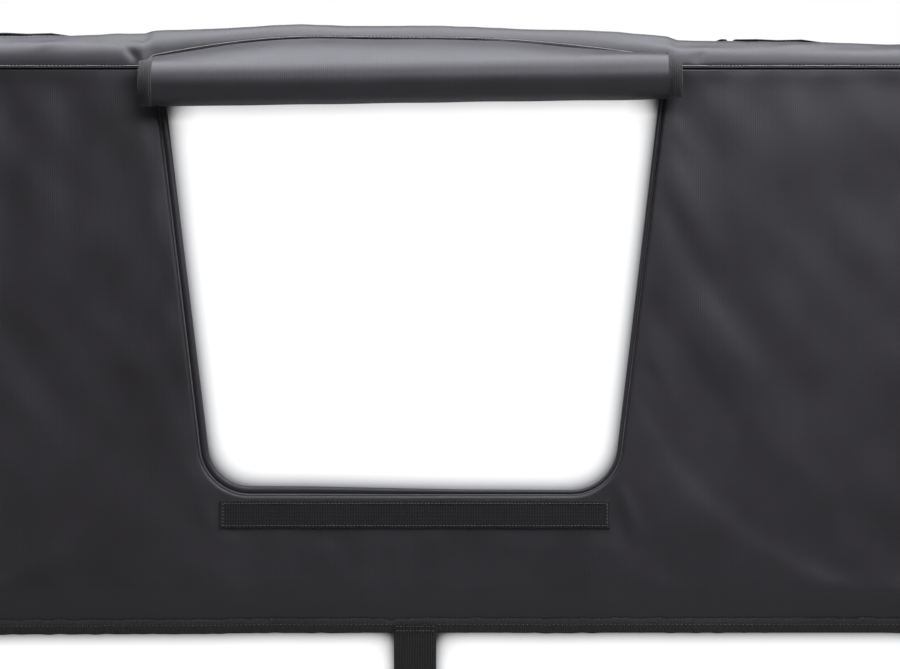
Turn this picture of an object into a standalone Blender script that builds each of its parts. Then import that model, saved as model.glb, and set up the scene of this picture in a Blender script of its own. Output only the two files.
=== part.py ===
"""Padded cover for a pickup truck's tailgate, on which bicycles ride.

It hangs over the tailgate like a saddle: a padded front with a handle opening, a padded top with
six tube straps, a shorter padded rear, and three webbing straps that close it under the tailgate.
The handle opening's flap is rolled up. X runs along the tailgate, -Y is the side away from the
truck, +Z is up, and the origin is the middle of the tailgate's top edge, where the pad rests.
"""

import math

import bmesh
import bpy

# Tailgate that the pad is sewn for
GATE_DEPTH = 0.064
GATE_HEIGHT = 0.581
GATE_CLEARANCE = 0.0005

# Padded sandwich: lining, foam, coated cover
LINING = 0.0010
FOAM = 0.0120
COVER = 0.0010
GAP = 0.0003
EDGE_FOAM = 0.0044
TAPER_WIDTH = 0.033

# Panels
PAD_WIDTH = 1.370
HEM_Z = -0.5176
REAR_HEM_Z = -0.2400
SEAM_Z = -0.0100
PANEL_TOP_Z = -0.0092
TOP_CORNER = 0.0220

# The padding of the top panel is fuller at the left: its height changes by this much per metre
CREST_TILT = -0.0085

# Top panel over the rolled flap: its front seam rises there, and a ridge stands along its front
SEAM_RISE = 0.0265
RIDGE_RISE = 0.0142
SEAM_SETBACK = 0.0087
RIDGE_Y = -0.0220
RIDGE_FOOT_Y = -0.0020
RIDGE_STEPS = 4
END_RISE = 0.27
RISE_LEFT = 0.165
RISE_RIGHT = 0.205
RISE_START = 0.010
RISE_MARGIN = 0.0010
RISE_STEPS = 7

# Edge binding tape, which thickens above LAP_START to go round the lapped seam
BINDING_WIDTH = 0.0120
BINDING = 0.0010
LAP_START = 0.0080

# Handle opening, which the flap laps by OPENING_LAP at each side
OPENING_X = -0.0040
OPENING_LAP = 0.0134
OPENING_SLANT = 0.1196
OPENING_BOTTOM_Z = -0.3946
OPENING_CORNER = 0.0460
FACING = 0.0010
PIPING = 0.0050
PIPING_TOP_Z = -0.0100
PIPING_SIDES = 10

# Loop tape under the opening, for the flap's hook tape
TAPE_LENGTH = 0.3510
TAPE_WIDTH = 0.0255
TAPE = 0.0014
TAPE_Z = -0.4120

# Rolled flap
FLAP_WIDTH = 0.4900
FLAP = 0.0016
FLAP_BINDING = 0.00035
FLAP_BINDING_WIDTH = 0.0120
ROLL_RADIUS = 0.0215
ROLL_Z = -0.0216
ROLL_TILT = 0.017
ROLL_CLEARANCE = 0.0010
ROLL_PITCH = 0.0033
ROLL_START = math.radians(135)
LEAD_STEPS = 4
STEPS_PER_TURN = 12
ROLL_STEPS = 52
HOOK_TAPE = 0.0010
HOOK_STEPS = 9
HOOK_LENGTH = 0.3800

# Webbing
WEB = 0.0016
ANCHOR_WIDTH = 0.0380
ANCHOR_INSET = 0.1850
ANCHOR_OVERLAP = 0.0064
ANCHOR_TAIL = 0.1300
ANCHOR_BEND = 0.0120
ANCHOR_REAR_OUT = 0.0026

# Ladder lock buckle on the rear hem
BUCKLE_THICKNESS = 0.0040
BUCKLE_RAIL = 0.0048
BUCKLE_BAR = 0.0040
BUCKLE_SLOT = 0.0100
BUCKLE_DROP = 0.0200
TAB_OVERLAP = 0.0100
TAB_NECK = 0.0040
SLOT_PLAY = 0.0010

# Tube straps across the top, one for each bicycle
BIKES = 6
BIKE_INSET = 0.1150
STRAP_WIDTH = 0.0380
STRAP_Y = 0.0180
STRAP_ANCHOR_X = 0.0850
STRAP_END_X = 0.0310
STRAP_DROP = 0.0180
STRAP_WAVE_X = -0.0120
STRAP_LIFT_X = 0.0060
STRAP_LIFT = 0.0018
RING_LEFT_X = -0.0625
RING_LENGTH = 0.0150
RING_BAR = 0.0030
TAB_END_X = -0.0850
TAB_DROP = 0.0110
PATH_STEP = 0.0160

LEFT, RIGHT = -1, 1
HALF_WIDTH = PAD_WIDTH / 2
ANCHOR_X = HALF_WIDTH - ANCHOR_INSET
BIKE_PITCH = (PAD_WIDTH - 2 * BIKE_INSET) / (BIKES - 1)
INNER_Y = GATE_DEPTH / 2 + GATE_CLEARANCE
FULL = LINING + GAP + FOAM + GAP + COVER
EDGE = LINING + GAP + EDGE_FOAM + GAP + COVER
SINK = FULL - EDGE
FACE_Y = INNER_Y + FULL
SLOT_BEND = GAP + WEB / 2
LAP_STEP = COVER + GAP
TOP_EDGE_Z = PANEL_TOP_Z + GAP
LINING_CORNER = -TOP_EDGE_Z
LAP_Y = FACE_Y + LAP_STEP
ARC_Y = LAP_Y - TOP_CORNER
ARC_Z = FULL - TOP_CORNER
OPENING_HALF = FLAP_WIDTH / 2 - OPENING_LAP
FLAP_END = FLAP_WIDTH / 2 + RISE_MARGIN
ARC_STEPS = 4


def material(name, colour, roughness, metallic=0.0):
    made = bpy.data.materials.new(name)
    made.use_nodes = True
    shader = made.node_tree.nodes["Principled BSDF"]
    shader.inputs["Base Color"].default_value = (*colour, 1.0)
    shader.inputs["Roughness"].default_value = roughness
    shader.inputs["Metallic"].default_value = metallic
    return made


def new_object(name, mesh, finish):
    made = bpy.data.objects.new(name, mesh)
    bpy.context.scene.collection.objects.link(made)
    if finish:
        mesh.materials.append(finish)
    return made


def mesh_from(name, points, faces):
    """A closed mesh whose faces are turned to point out."""
    mesh = bpy.data.meshes.new(name)
    mesh.from_pydata(points, [], faces)
    shape = bmesh.new()
    shape.from_mesh(mesh)
    bmesh.ops.recalc_face_normals(shape, faces=shape.faces)
    shape.to_mesh(mesh)
    shape.free()
    mesh.shade_smooth()
    mesh.set_sharp_from_angle(angle=math.radians(35))
    return mesh


def slab(name, outer, inner, finish):
    """The solid between two surfaces, each a grid of points with the same rows and columns.

    Both surfaces are split along the same diagonals, so layers made from the same grid stay apart."""
    rows, columns = len(outer), len(outer[0])
    points = [p for grid in (outer, inner) for row in grid for p in row]
    under = rows * columns

    def at(row, column):
        return row * columns + column

    faces = []
    for row in range(rows - 1):
        for column in range(columns - 1):
            start, across = at(row, column), at(row + 1, column + 1)
            for corner in ([start, at(row + 1, column), across], [start, across, at(row, column + 1)]):
                faces.append(corner)
                faces.append([under + k for k in reversed(corner)])
    rim = [at(row, 0) for row in range(rows)]
    rim += [at(rows - 1, column) for column in range(1, columns)]
    rim += [at(row, columns - 1) for row in range(rows - 2, -1, -1)]
    rim += [at(0, column) for column in range(columns - 2, 0, -1)]
    for a, b in zip(rim, rim[1:] + rim[:1]):
        faces.append([a, b, under + b, under + a])
    return new_object(name, mesh_from(name, points, faces), finish)


def sweep(name, sections, finish, closed=False):
    """The solid through a row of closed outlines that have the same number of points."""
    count = len(sections[0])
    points = [p for section in sections for p in section]
    faces = []
    last = len(sections) if closed else len(sections) - 1
    for k in range(last):
        here, there = k * count, (k + 1) % len(sections) * count
        for i in range(count):
            j = (i + 1) % count
            faces.append([here + i, here + j, there + j, there + i])
    if not closed:
        faces.append(list(range(count)))
        faces.append(list(range(last * count, last * count + count)))
    return new_object(name, mesh_from(name, points, faces), finish)


def cut(target, cutter):
    cutter.hide_render = True
    cutter.display_type = "WIRE"
    boolean = target.modifiers.new("cut", "BOOLEAN")
    boolean.operation = "DIFFERENCE"
    boolean.object = cutter


def arc(centre, radius, start, end, steps):
    """Points on an arc, from the start angle to the end angle."""
    angles = [start + (end - start) * k / steps for k in range(steps + 1)]
    return [(centre[0] + radius * math.cos(a), centre[1] + radius * math.sin(a)) for a in angles]


def rounded(corners, steps=3):
    """A path through corners given as (point, bend radius), with an arc at each bend."""
    path = [corners[0][0]]
    for (before, _), (here, radius), (after, _) in zip(corners, corners[1:], corners[2:]):
        into = (before[0] - here[0], before[1] - here[1])
        out = (after[0] - here[0], after[1] - here[1])
        long_in, long_out = math.hypot(*into), math.hypot(*out)
        into = (into[0] / long_in, into[1] / long_in)
        out = (out[0] / long_out, out[1] / long_out)
        half = math.acos(max(-1.0, min(1.0, into[0] * out[0] + into[1] * out[1]))) / 2
        back = radius / math.tan(half)
        start = (here[0] + into[0] * back, here[1] + into[1] * back)
        middle = (into[0] + out[0], into[1] + out[1])
        reach = radius / math.sin(half) / math.hypot(*middle)
        centre = (here[0] + middle[0] * reach, here[1] + middle[1] * reach)
        first = math.atan2(start[1] - centre[1], start[0] - centre[0])
        turn = math.pi - 2 * half
        if into[0] * out[1] - into[1] * out[0] > 0:
            turn = -turn
        path += arc(centre, radius, first, first + turn, steps)
    return path + [corners[-1][0]]


def sides(path, thickness):
    """The two lines that run half a thickness to either side of a path."""
    left, right = [], []
    for k, here in enumerate(path):
        before, after = path[max(k - 1, 0)], path[min(k + 1, len(path) - 1)]
        into = (here[0] - before[0], here[1] - before[1])
        out = (after[0] - here[0], after[1] - here[1])
        unit = [(v[0] / math.hypot(*v), v[1] / math.hypot(*v)) for v in (into, out) if math.hypot(*v)]
        along = (sum(v[0] for v in unit), sum(v[1] for v in unit))
        size = math.hypot(*along)
        along = (along[0] / size, along[1] / size)
        miter = along[0] * unit[0][0] + along[1] * unit[0][1]
        reach = thickness / 2 / miter
        left.append((here[0] - along[1] * reach, here[1] + along[0] * reach))
        right.append((here[0] + along[1] * reach, here[1] - along[0] * reach))
    return left, right


def shoulder(distance):
    """How full the padding is at a distance from a bound edge: 0 in the binding, 1 beyond the taper."""
    share = (distance - BINDING_WIDTH) / TAPER_WIDTH
    return math.sin(math.pi / 2 * max(0.0, min(1.0, share)))


def sink(x, z=None, hem_z=None):
    """How far the cover lies below the full padding at a point of a panel."""
    full = shoulder(HALF_WIDTH - abs(x))
    if z is not None:
        full *= shoulder(z - hem_z)
    return SINK * (1 - full)


def edge_stations(edge, inward):
    """Places where a panel's thickness changes, from its edge inward."""
    shares = (0.0, 0.12, 0.3, 0.6, 1.0)
    return [edge] + [edge + inward * (BINDING_WIDTH + TAPER_WIDTH * share) for share in shares]


def rise(x):
    """How much of the flap's lift the top panel has at x: 0 beside the flap, 1 over its middle."""
    past = abs(x - OPENING_X) - FLAP_END
    if past > 0:
        return END_RISE * max(0.0, 1 - past / RISE_START)
    span = RISE_LEFT if x < OPENING_X else RISE_RIGHT
    share = min(1.0, -past / span)
    return END_RISE + (1 - END_RISE) * math.sin(math.pi / 2 * share)


def stretched(z, x):
    """A height in the top panel, stretched away from its seam by the crest's tilt at x."""
    tilt = CREST_TILT * x * shoulder(HALF_WIDTH - abs(x))
    return SEAM_Z + (z - SEAM_Z) * (1 + tilt / (FULL - SEAM_Z))


def crest(x):
    """Height of the top panel's flat crest at x, behind the ridge."""
    return stretched(FULL - sink(x), x)


def flat_profile(depth):
    """The top panel's section where it lies flat, at a depth below its surface, front edge first."""
    radius = TOP_CORNER - depth
    front = arc((-ARC_Y, ARC_Z), radius, math.pi, math.pi / 2, ARC_STEPS)
    rear = arc((ARC_Y, ARC_Z), radius, math.pi / 2, 0.0, ARC_STEPS)
    shares = [k / RIDGE_STEPS for k in range(1, RIDGE_STEPS + 1)]
    middle = [(-ARC_Y + (RIDGE_FOOT_Y + ARC_Y) * share, FULL - depth) for share in shares]
    return [(-LAP_Y + depth, SEAM_Z)] + front + middle + rear + [(LAP_Y - depth, SEAM_Z)]


def lifted_profile(depth):
    """The same section over the middle of the flap: its front edge is pushed up and back to a ridge."""
    edge_y, edge_z = -LAP_Y + SEAM_SETBACK, SEAM_Z + SEAM_RISE
    front_height, front_run = FULL + RIDGE_RISE - edge_z, RIDGE_Y - edge_y
    back_run = RIDGE_FOOT_Y - RIDGE_Y
    line = []
    for k in range(ARC_STEPS + 2):
        left_over = 1 - k / (ARC_STEPS + 1)
        height = FULL + RIDGE_RISE - front_height * left_over**2
        line.append((RIDGE_Y - front_run * left_over, height, 2 * front_height * left_over / front_run))
    for k in range(1, RIDGE_STEPS + 1):
        angle = math.pi * k / RIDGE_STEPS
        height = FULL + RIDGE_RISE * (1 + math.cos(angle)) / 2
        slope = -RIDGE_RISE * math.pi / 2 * math.sin(angle) / back_run
        line.append((RIDGE_Y + back_run * k / RIDGE_STEPS, height, slope))
    section = []
    for y, z, slope in line:
        tilt = math.hypot(1, slope)
        section.append((y + depth * slope / tilt, z - depth / tilt))
    return section + flat_profile(depth)[len(section) :]


def top_section(x, depth):
    """The top panel's section at x, at a depth below its surface."""
    low, high = flat_profile(sink(x) + depth), lifted_profile(depth)
    share = rise(x)
    section = [(a[0] + (b[0] - a[0]) * share, a[1] + (b[1] - a[1]) * share) for a, b in zip(low, high)]
    return [(y, stretched(z, x)) for y, z in section]


def lining_profile(height):
    """The section over the tailgate's top at a height above it, with as many points as the foam's."""
    radius = LINING_CORNER + height
    centre_y = INNER_Y - LINING_CORNER
    front = arc((-centre_y, -LINING_CORNER), radius, math.pi, math.pi / 2, ARC_STEPS)
    rear = arc((centre_y, -LINING_CORNER), radius, math.pi / 2, 0.0, ARC_STEPS)
    shares = [k / RIDGE_STEPS for k in range(1, RIDGE_STEPS + 1)]
    return front + [(-centre_y + (RIDGE_FOOT_Y + centre_y) * share, height) for share in shares] + rear


def at_height(start, end, z):
    """The point at height z on the line from start to end, or start if the line begins above z."""
    if start[1] >= z:
        return start
    share = (z - start[1]) / (end[1] - start[1])
    return (start[0] + (end[0] - start[0]) * share, z)


def opening_side_x(z):
    """Half the handle opening's width at a height, along its straight side."""
    return OPENING_HALF - OPENING_SLANT * (SEAM_Z - z)


def opening_outline(top_z, wider=0.0, steps=6):
    """The handle opening's outline from its top left, down, across and up, as (x, z)."""
    slant = math.atan(OPENING_SLANT)
    centre_z = OPENING_BOTTOM_Z + OPENING_CORNER
    centre_x = opening_side_x(centre_z) - OPENING_CORNER / math.cos(slant)
    radius = OPENING_CORNER + wider
    right = arc((centre_x, centre_z), radius, -math.pi / 2, -slant, steps)
    right.append((opening_side_x(top_z) + wider / math.cos(slant), top_z))
    left = [(-x, z) for x, z in reversed(right)]
    return [(OPENING_X + x, z) for x, z in left + right]


def opening_cutter(name, wider):
    """A block of the opening's outline that runs through the front panel and out of its top."""
    outline = opening_outline(-TOP_EDGE_Z, wider)
    front, back = -FACE_Y - FULL, -INNER_Y + FULL / 2
    return sweep(name, [[(x, y, z) for x, z in outline] for y in (front, back)], None)


def across_panel(inset=0.0):
    """Stations across a whole panel, from end to end, or from inset to inset."""
    left = edge_stations(-HALF_WIDTH, 1)
    if inset:
        left = [max(inset - HALF_WIDTH, x) for x in left[1:]]
    return left + [-x for x in reversed(left)]


def up_panel(hem_z, inset=0.0):
    """Stations up a whole panel, from its hem or from inset above the hem."""
    rows = edge_stations(hem_z, 1)
    if inset:
        rows = [max(hem_z + inset, z) for z in rows[1:]]
    return rows + [PANEL_TOP_Z]


def hanging_layer(name, facing, hem_z, xs, zs, layer, finish):
    """One layer of the front (facing -1) or rear (facing 1) panel, on stations xs and zs.

    layer turns how far the padding sinks into the layer's two distances from the tailgate."""
    outer, inner = [], []
    for z in zs:
        depths = [layer(sink(x, z, hem_z)) for x in xs]
        inner.append([(x, facing * (INNER_Y + near), z) for x, (near, far) in zip(xs, depths)])
        outer.append([(x, facing * (INNER_Y + far), z) for x, (near, far) in zip(xs, depths)])
    return slab(name, outer, inner, finish)


def cover_layer(sunk):
    return FULL - COVER - sunk, FULL - sunk


def foam_layer(sunk):
    return LINING + GAP, FULL - COVER - GAP - sunk


def lining_layer(sunk):
    return 0.0, LINING


def make_skins(prefix, facing, hem_z, cover, lining):
    """Cover and lining of a panel that hangs from the top seam."""
    seam = BINDING_WIDTH + GAP
    whole = across_panel(), up_panel(hem_z)
    inside = across_panel(seam), up_panel(hem_z, seam)
    return (
        hanging_layer(prefix + "_cover", facing, hem_z, *whole, cover_layer, cover),
        hanging_layer(prefix + "_lining", facing, hem_z, *inside, lining_layer, lining),
    )


def make_front(cover, foam, lining):
    """The front panel: one cover and one lining, over a foam on each side of the opening and one under."""
    flush = opening_cutter("opening_cutter", 0.0)
    for skin in make_skins("front", -1, HEM_Z, cover, lining):
        cut(skin, flush)
    joint_z = OPENING_BOTTOM_Z + OPENING_CORNER
    side_end = OPENING_X - opening_side_x(joint_z) + OPENING_CORNER
    whole = across_panel()
    left = whole[: len(whole) // 2] + [side_end]
    right = [2 * OPENING_X - side_end] + whole[len(whole) // 2 :]
    tall = [joint_z + GAP, PANEL_TOP_Z]
    low = up_panel(HEM_Z)[:-1] + [joint_z]
    cutter = opening_cutter("foam_opening_cutter", GAP + FACING + GAP)
    for name, xs, zs in (("left", left, tall), ("right", right, tall), ("lower", whole, low)):
        pad = hanging_layer("front_foam_" + name, -1, HEM_Z, xs, zs, foam_layer, foam)
        cut(pad, cutter)


def make_rear(cover, foam, lining):
    make_skins("rear", 1, REAR_HEM_Z, cover, lining)
    stations = across_panel(), up_panel(REAR_HEM_Z)
    hanging_layer("rear_foam", 1, REAR_HEM_Z, *stations, foam_layer, foam)


def top_x_stations():
    ends = edge_stations(-HALF_WIDTH, 1)
    shares = [k / RISE_STEPS for k in range(RISE_STEPS + 1)]
    left = [-FLAP_END - RISE_START] + [-FLAP_END + RISE_LEFT * share for share in shares]
    right = [FLAP_END - RISE_RIGHT * (1 - share) for share in shares] + [FLAP_END + RISE_START]
    return ends + [OPENING_X + x for x in left + right] + [-x for x in reversed(ends)]


def make_top(cover, foam, lining):
    xs = top_x_stations()
    outer = [[(x, y, z) for y, z in top_section(x, 0.0)] for x in xs]
    inner = [[(x, y, z) for y, z in top_section(x, COVER)] for x in xs]
    slab("top_cover", outer, inner, cover)

    outer = []
    for x in xs:
        upper = top_section(x, COVER + GAP)[1:-1]
        upper[0] = at_height(upper[0], upper[1], TOP_EDGE_Z)
        upper[-1] = at_height(upper[-1], upper[-2], TOP_EDGE_Z)
        outer.append([(x, y, z) for y, z in upper])
    inner = [[(x, y, z) for y, z in lining_profile(LINING + GAP)] for x in xs]
    slab("top_foam", outer, inner, foam)

    limit = HALF_WIDTH - BINDING_WIDTH - GAP
    outer = [[(x, y, z) for y, z in lining_profile(LINING)] for x in (-limit, limit)]
    inner = [[(x, y, z) for y, z in lining_profile(0.0)] for x in (-limit, limit)]
    slab("top_lining", outer, inner, lining)


def channel(near, far, out, across):
    """The section of a tape folded round an edge whose two faces are at near and far."""
    outline = (
        (near, 0.0, BINDING_WIDTH),
        (near, 0.0, -GAP - BINDING),
        (far, GAP + BINDING, -GAP - BINDING),
        (far, GAP + BINDING, BINDING_WIDTH),
        (far, GAP, BINDING_WIDTH),
        (far, GAP, -GAP),
        (near, BINDING, -GAP),
        (near, BINDING, BINDING_WIDTH),
    )
    return [tuple(b + o * n + a * w for b, o, a in zip(base, out, across)) for base, n, w in outline]


def make_hem_binding(name, facing, hem_z, finish):
    limit = HALF_WIDTH - BINDING_WIDTH - GAP
    near, far = facing * INNER_Y, facing * (INNER_Y + EDGE)
    out, across = (0.0, facing, 0.0), (0.0, 0.0, 1.0)
    sections = [channel((x, near, hem_z), (x, far, hem_z), out, across) for x in (-limit, limit)]
    sweep(name, sections, finish)


def make_end_binding(name, side, finish):
    """Binding up the front's end, over the top and down the rear's end."""
    x = side * HALF_WIDTH
    stations = []
    for facing, hem_z in ((-1, HEM_Z), (1, REAR_HEM_Z)):
        half = []
        for z, step in ((hem_z - GAP - BINDING, 0.0), (PANEL_TOP_Z - LAP_START, 0.0), (SEAM_Z, LAP_STEP)):
            half.append((facing * INNER_Y, z, facing * (INNER_Y + EDGE + step), z, 0.0))
        for k in range(ARC_STEPS + 1):
            angle = math.pi / 2 * k / ARC_STEPS
            along, up = facing * math.cos(angle), math.sin(angle)
            centre_y, outer_radius = facing * (INNER_Y - LINING_CORNER), TOP_CORNER - SINK
            near = (centre_y + along * LINING_CORNER, -LINING_CORNER + up * LINING_CORNER)
            far = (facing * ARC_Y + along * outer_radius, ARC_Z + up * outer_radius)
            half.append((*near, *far, angle))
        half = [(*station, facing) for station in half]
        stations += half if facing < 0 else half[::-1]
    sections = []
    for near_y, near_z, far_y, far_z, angle, facing in stations:
        out = (0.0, facing * math.cos(angle), math.sin(angle))
        sections.append(channel((x, near_y, near_z), (x, far_y, far_z), out, (-side, 0.0, 0.0)))
    sweep(name, sections, finish)


def make_opening_trim(facing_finish, piping_finish):
    """The strip that closes the foam's cut edge, and the corded piping in front of it."""
    near, far = INNER_Y + LINING + GAP, INNER_Y + LINING + GAP + FOAM
    inner = opening_outline(PIPING_TOP_Z, GAP)
    outer = opening_outline(PIPING_TOP_Z, GAP + FACING)
    sections = [
        [(a[0], -near, a[1]), (a[0], -far, a[1]), (b[0], -far, b[1]), (b[0], -near, b[1])]
        for a, b in zip(inner, outer)
    ]
    sweep("opening_facing", sections, facing_finish)

    route = opening_outline(PIPING_TOP_Z, -GAP - PIPING / 2, steps=8)
    left, right = sides(route, PIPING)
    sections = []
    for (x, z), a, b in zip(route, left, right):
        across = ((b[0] - a[0]) / 2, (b[1] - a[1]) / 2)
        turns = [2 * math.pi * k / PIPING_SIDES for k in range(PIPING_SIDES)]
        ring = [(x + across[0] * math.cos(t), z + across[1] * math.cos(t), math.sin(t)) for t in turns]
        sections.append([(px, -FACE_Y + PIPING / 2 * (1 + up), pz) for px, pz, up in ring])
    sweep("opening_piping", sections, piping_finish)


def make_loop_tape(finish):
    near, far = FACE_Y + GAP, FACE_Y + GAP + TAPE
    low, high = TAPE_Z - TAPE_WIDTH / 2, TAPE_Z + TAPE_WIDTH / 2
    sections = [
        [(x, -near, low), (x, -far, low), (x, -far, high), (x, -near, high)]
        for x in (-TAPE_LENGTH / 2, TAPE_LENGTH / 2)
    ]
    sweep("flap_loop_tape", sections, finish)


def roll_line(x, depth):
    """The flap's section at x, from its seam to its free edge, at a depth below its outer face."""
    centre = (-FACE_Y - ROLL_CLEARANCE - ROLL_RADIUS, ROLL_Z + ROLL_TILT * (x - OPENING_X))
    edge, behind = top_section(x, 0.0)[:2]
    long = math.hypot(edge[0] - behind[0], edge[1] - behind[1])
    along = ((edge[0] - behind[0]) / long, (edge[1] - behind[1]) / long)
    start = (edge[0] + along[0] * 2 * GAP, edge[1] + along[1] * 2 * GAP)
    away = (start[0] - centre[0], start[1] - centre[1])
    touch = math.atan2(away[1], away[0]) + math.acos(ROLL_RADIUS / math.hypot(*away))
    angles = [touch + (ROLL_START - touch) * k / LEAD_STEPS for k in range(LEAD_STEPS)]
    angles += [ROLL_START + 2 * math.pi * k / STEPS_PER_TURN for k in range(ROLL_STEPS + 1)]
    wound = []
    for angle in angles:
        radius = ROLL_RADIUS - ROLL_PITCH * (angle - ROLL_START) / (2 * math.pi) - depth
        wound.append((centre[0] + radius * math.cos(angle), centre[1] + radius * math.sin(angle)))
    seam = (start[0] - math.cos(touch) * depth, start[1] - math.sin(touch) * depth)
    line = []
    for k in range(LEAD_STEPS):
        share = k / LEAD_STEPS
        line.append(tuple(a + (b - a) * share for a, b in zip(seam, wound[0])))
    return line + wound


def make_flap(panel_finish, binding_finish, tape_finish):
    """The rolled flap: one spiral panel, a folded tape round each side edge, hook tape at its end."""
    limit = FLAP_WIDTH / 2 - GAP - FLAP_BINDING
    lip = FLAP_WIDTH / 2 - FLAP_BINDING_WIDTH
    inside = [x for x in top_x_stations() if abs(x - OPENING_X) < lip]
    xs = [OPENING_X - limit, OPENING_X - lip] + inside + [OPENING_X + lip, OPENING_X + limit]
    outer = [[(x, y, z) for y, z in roll_line(x, 0.0)] for x in xs]
    inner = [[(x, y, z) for y, z in roll_line(x, FLAP)] for x in xs]
    slab("flap_panel", outer, inner, panel_finish)

    for name, side in (("flap_binding_left", LEFT), ("flap_binding_right", RIGHT)):
        end = side * FLAP_WIDTH / 2
        fold, lip = end - side * FLAP_BINDING, end - side * FLAP_BINDING_WIDTH
        wall = (
            (lip, -GAP - FLAP_BINDING),
            (end, -GAP - FLAP_BINDING),
            (end, FLAP + GAP + FLAP_BINDING),
            (lip, FLAP + GAP + FLAP_BINDING),
            (lip, FLAP + GAP),
            (fold, FLAP + GAP),
            (fold, -GAP),
            (lip, -GAP),
        )
        lines = [[(OPENING_X + x, y, z) for y, z in roll_line(OPENING_X + x, depth)] for x, depth in wall]
        sweep(name, [list(section) for section in zip(*lines)], binding_finish)

    xs = (OPENING_X - HOOK_LENGTH / 2, OPENING_X + HOOK_LENGTH / 2)
    near, far = FLAP + GAP, FLAP + GAP + HOOK_TAPE
    outer = [[(x, y, z) for y, z in roll_line(x, near)[-HOOK_STEPS:]] for x in xs]
    inner = [[(x, y, z) for y, z in roll_line(x, far)[-HOOK_STEPS:]] for x in xs]
    slab("flap_hook_tape", outer, inner, tape_finish)


def webbing(name, path, place, width, finish):
    """A strip of webbing that follows a path. place turns a path point and a side into a point."""
    left, right = sides(path, WEB)
    sections = []
    for a, b in zip(left, right):
        corners = ((a, -width / 2), (a, width / 2), (b, width / 2), (b, -width / 2))
        sections.append([place(*point, across) for point, across in corners])
    sweep(name, sections, finish)


def frame_plate(name, us, vs, holes, thickness, place, finish):
    """A flat plate of cells between the us and vs, without the cells that are holes."""
    columns, rows = len(us) - 1, len(vs) - 1
    cells = {(i, j) for i in range(columns) for j in range(rows)} - set(holes)
    points = [place(u, v, w) for w in (-thickness / 2, thickness / 2) for v in vs for u in us]
    top = len(us) * len(vs)

    def at(i, j):
        return j * len(us) + i

    faces = []
    for i, j in sorted(cells):
        corners = [at(i, j), at(i + 1, j), at(i + 1, j + 1), at(i, j + 1)]
        faces.append(corners)
        faces.append([top + k for k in reversed(corners)])
        beside = ((i, j - 1), (i + 1, j), (i, j + 1), (i - 1, j))
        for k, neighbour in enumerate(beside):
            if neighbour not in cells:
                a, b = corners[k], corners[(k + 1) % 4]
                faces.append([a, b, top + b, top + a])
    new_object(name, mesh_from(name, points, faces), finish)


def make_anchor(name, x, web_finish, buckle_finish):
    """A strap from the front hem, under the tailgate, to a ladder lock on the rear hem."""
    half = BUCKLE_THICKNESS / 2
    front_y = -(INNER_Y + EDGE + GAP + BINDING + GAP + WEB / 2)
    load_y = INNER_Y + ANCHOR_REAR_OUT
    tail_y = load_y + WEB + GAP
    plate_y = tail_y + WEB / 2 + GAP + half
    over_y = plate_y + half + GAP + WEB / 2
    tab_top = REAR_HEM_Z - BUCKLE_DROP
    bar_top = tab_top - BUCKLE_BAR - BUCKLE_SLOT
    bar_bottom = bar_top - BUCKLE_BAR
    rail_top = bar_bottom - BUCKLE_SLOT
    bottom_z = -GATE_HEIGHT - GAP - WEB / 2
    path = rounded(
        [
            ((front_y, HEM_Z + ANCHOR_OVERLAP), 0),
            ((front_y, bottom_z), ANCHOR_BEND),
            ((load_y, bottom_z), ANCHOR_BEND),
            ((load_y, bar_top + SLOT_BEND), SLOT_BEND),
            ((over_y, bar_top + SLOT_BEND), SLOT_BEND),
            ((over_y, bar_bottom - SLOT_BEND), SLOT_BEND / 2),
            ((tail_y, rail_top + 2 * SLOT_BEND), SLOT_BEND / 2),
            ((tail_y, rail_top - BUCKLE_BAR - ANCHOR_TAIL), 0),
        ]
    )

    def place(y, z, across):
        return (x + across, y, z)

    webbing("anchor_strap_" + name, path, place, ANCHOR_WIDTH, web_finish)

    window = ANCHOR_WIDTH / 2 + SLOT_PLAY
    us = [-window - BUCKLE_RAIL, -window, window, window + BUCKLE_RAIL]
    vs = [rail_top - BUCKLE_BAR, rail_top, bar_bottom, bar_top, bar_top + BUCKLE_SLOT, tab_top]
    frame_plate(
        "anchor_buckle_" + name,
        us,
        vs,
        [(1, 1), (1, 3)],
        BUCKLE_THICKNESS,
        lambda u, v, w: (x + u, plate_y + w, v),
        buckle_finish,
    )

    inner_y = INNER_Y + EDGE + GAP + BINDING + GAP + WEB / 2
    outer_y = inner_y + WEB + GAP
    back_y = plate_y - half - SLOT_BEND
    wrap_y = plate_y + half + SLOT_BEND
    low = tab_top - BUCKLE_BAR - SLOT_BEND
    neck, splay = REAR_HEM_Z - TAB_NECK, tab_top + TAB_NECK
    path = rounded(
        [
            ((inner_y, REAR_HEM_Z + TAB_OVERLAP), 0),
            ((inner_y, neck), SLOT_BEND),
            ((back_y, splay), SLOT_BEND),
            ((back_y, low), SLOT_BEND),
            ((wrap_y, low), SLOT_BEND),
            ((wrap_y, splay), SLOT_BEND),
            ((outer_y, neck), SLOT_BEND),
            ((outer_y, REAR_HEM_Z + TAB_OVERLAP), 0),
        ]
    )
    webbing("buckle_tab_" + name, path, place, ANCHOR_WIDTH, web_finish)


def top_path(centre, points):
    """A path over the top panel through points given as an offset along X and a height above it."""
    flat = rounded([(point, SLOT_BEND) for point in points])
    dense = [flat[0]]
    for before, here in zip(flat, flat[1:]):
        steps = max(1, round(abs(here[0] - before[0]) / PATH_STEP))
        for k in range(1, steps + 1):
            share = k / steps
            dense.append(tuple(a + (b - a) * share for a, b in zip(before, here)))
    return [(centre + u, crest(centre + u) + h) for u, h in dense]


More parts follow.
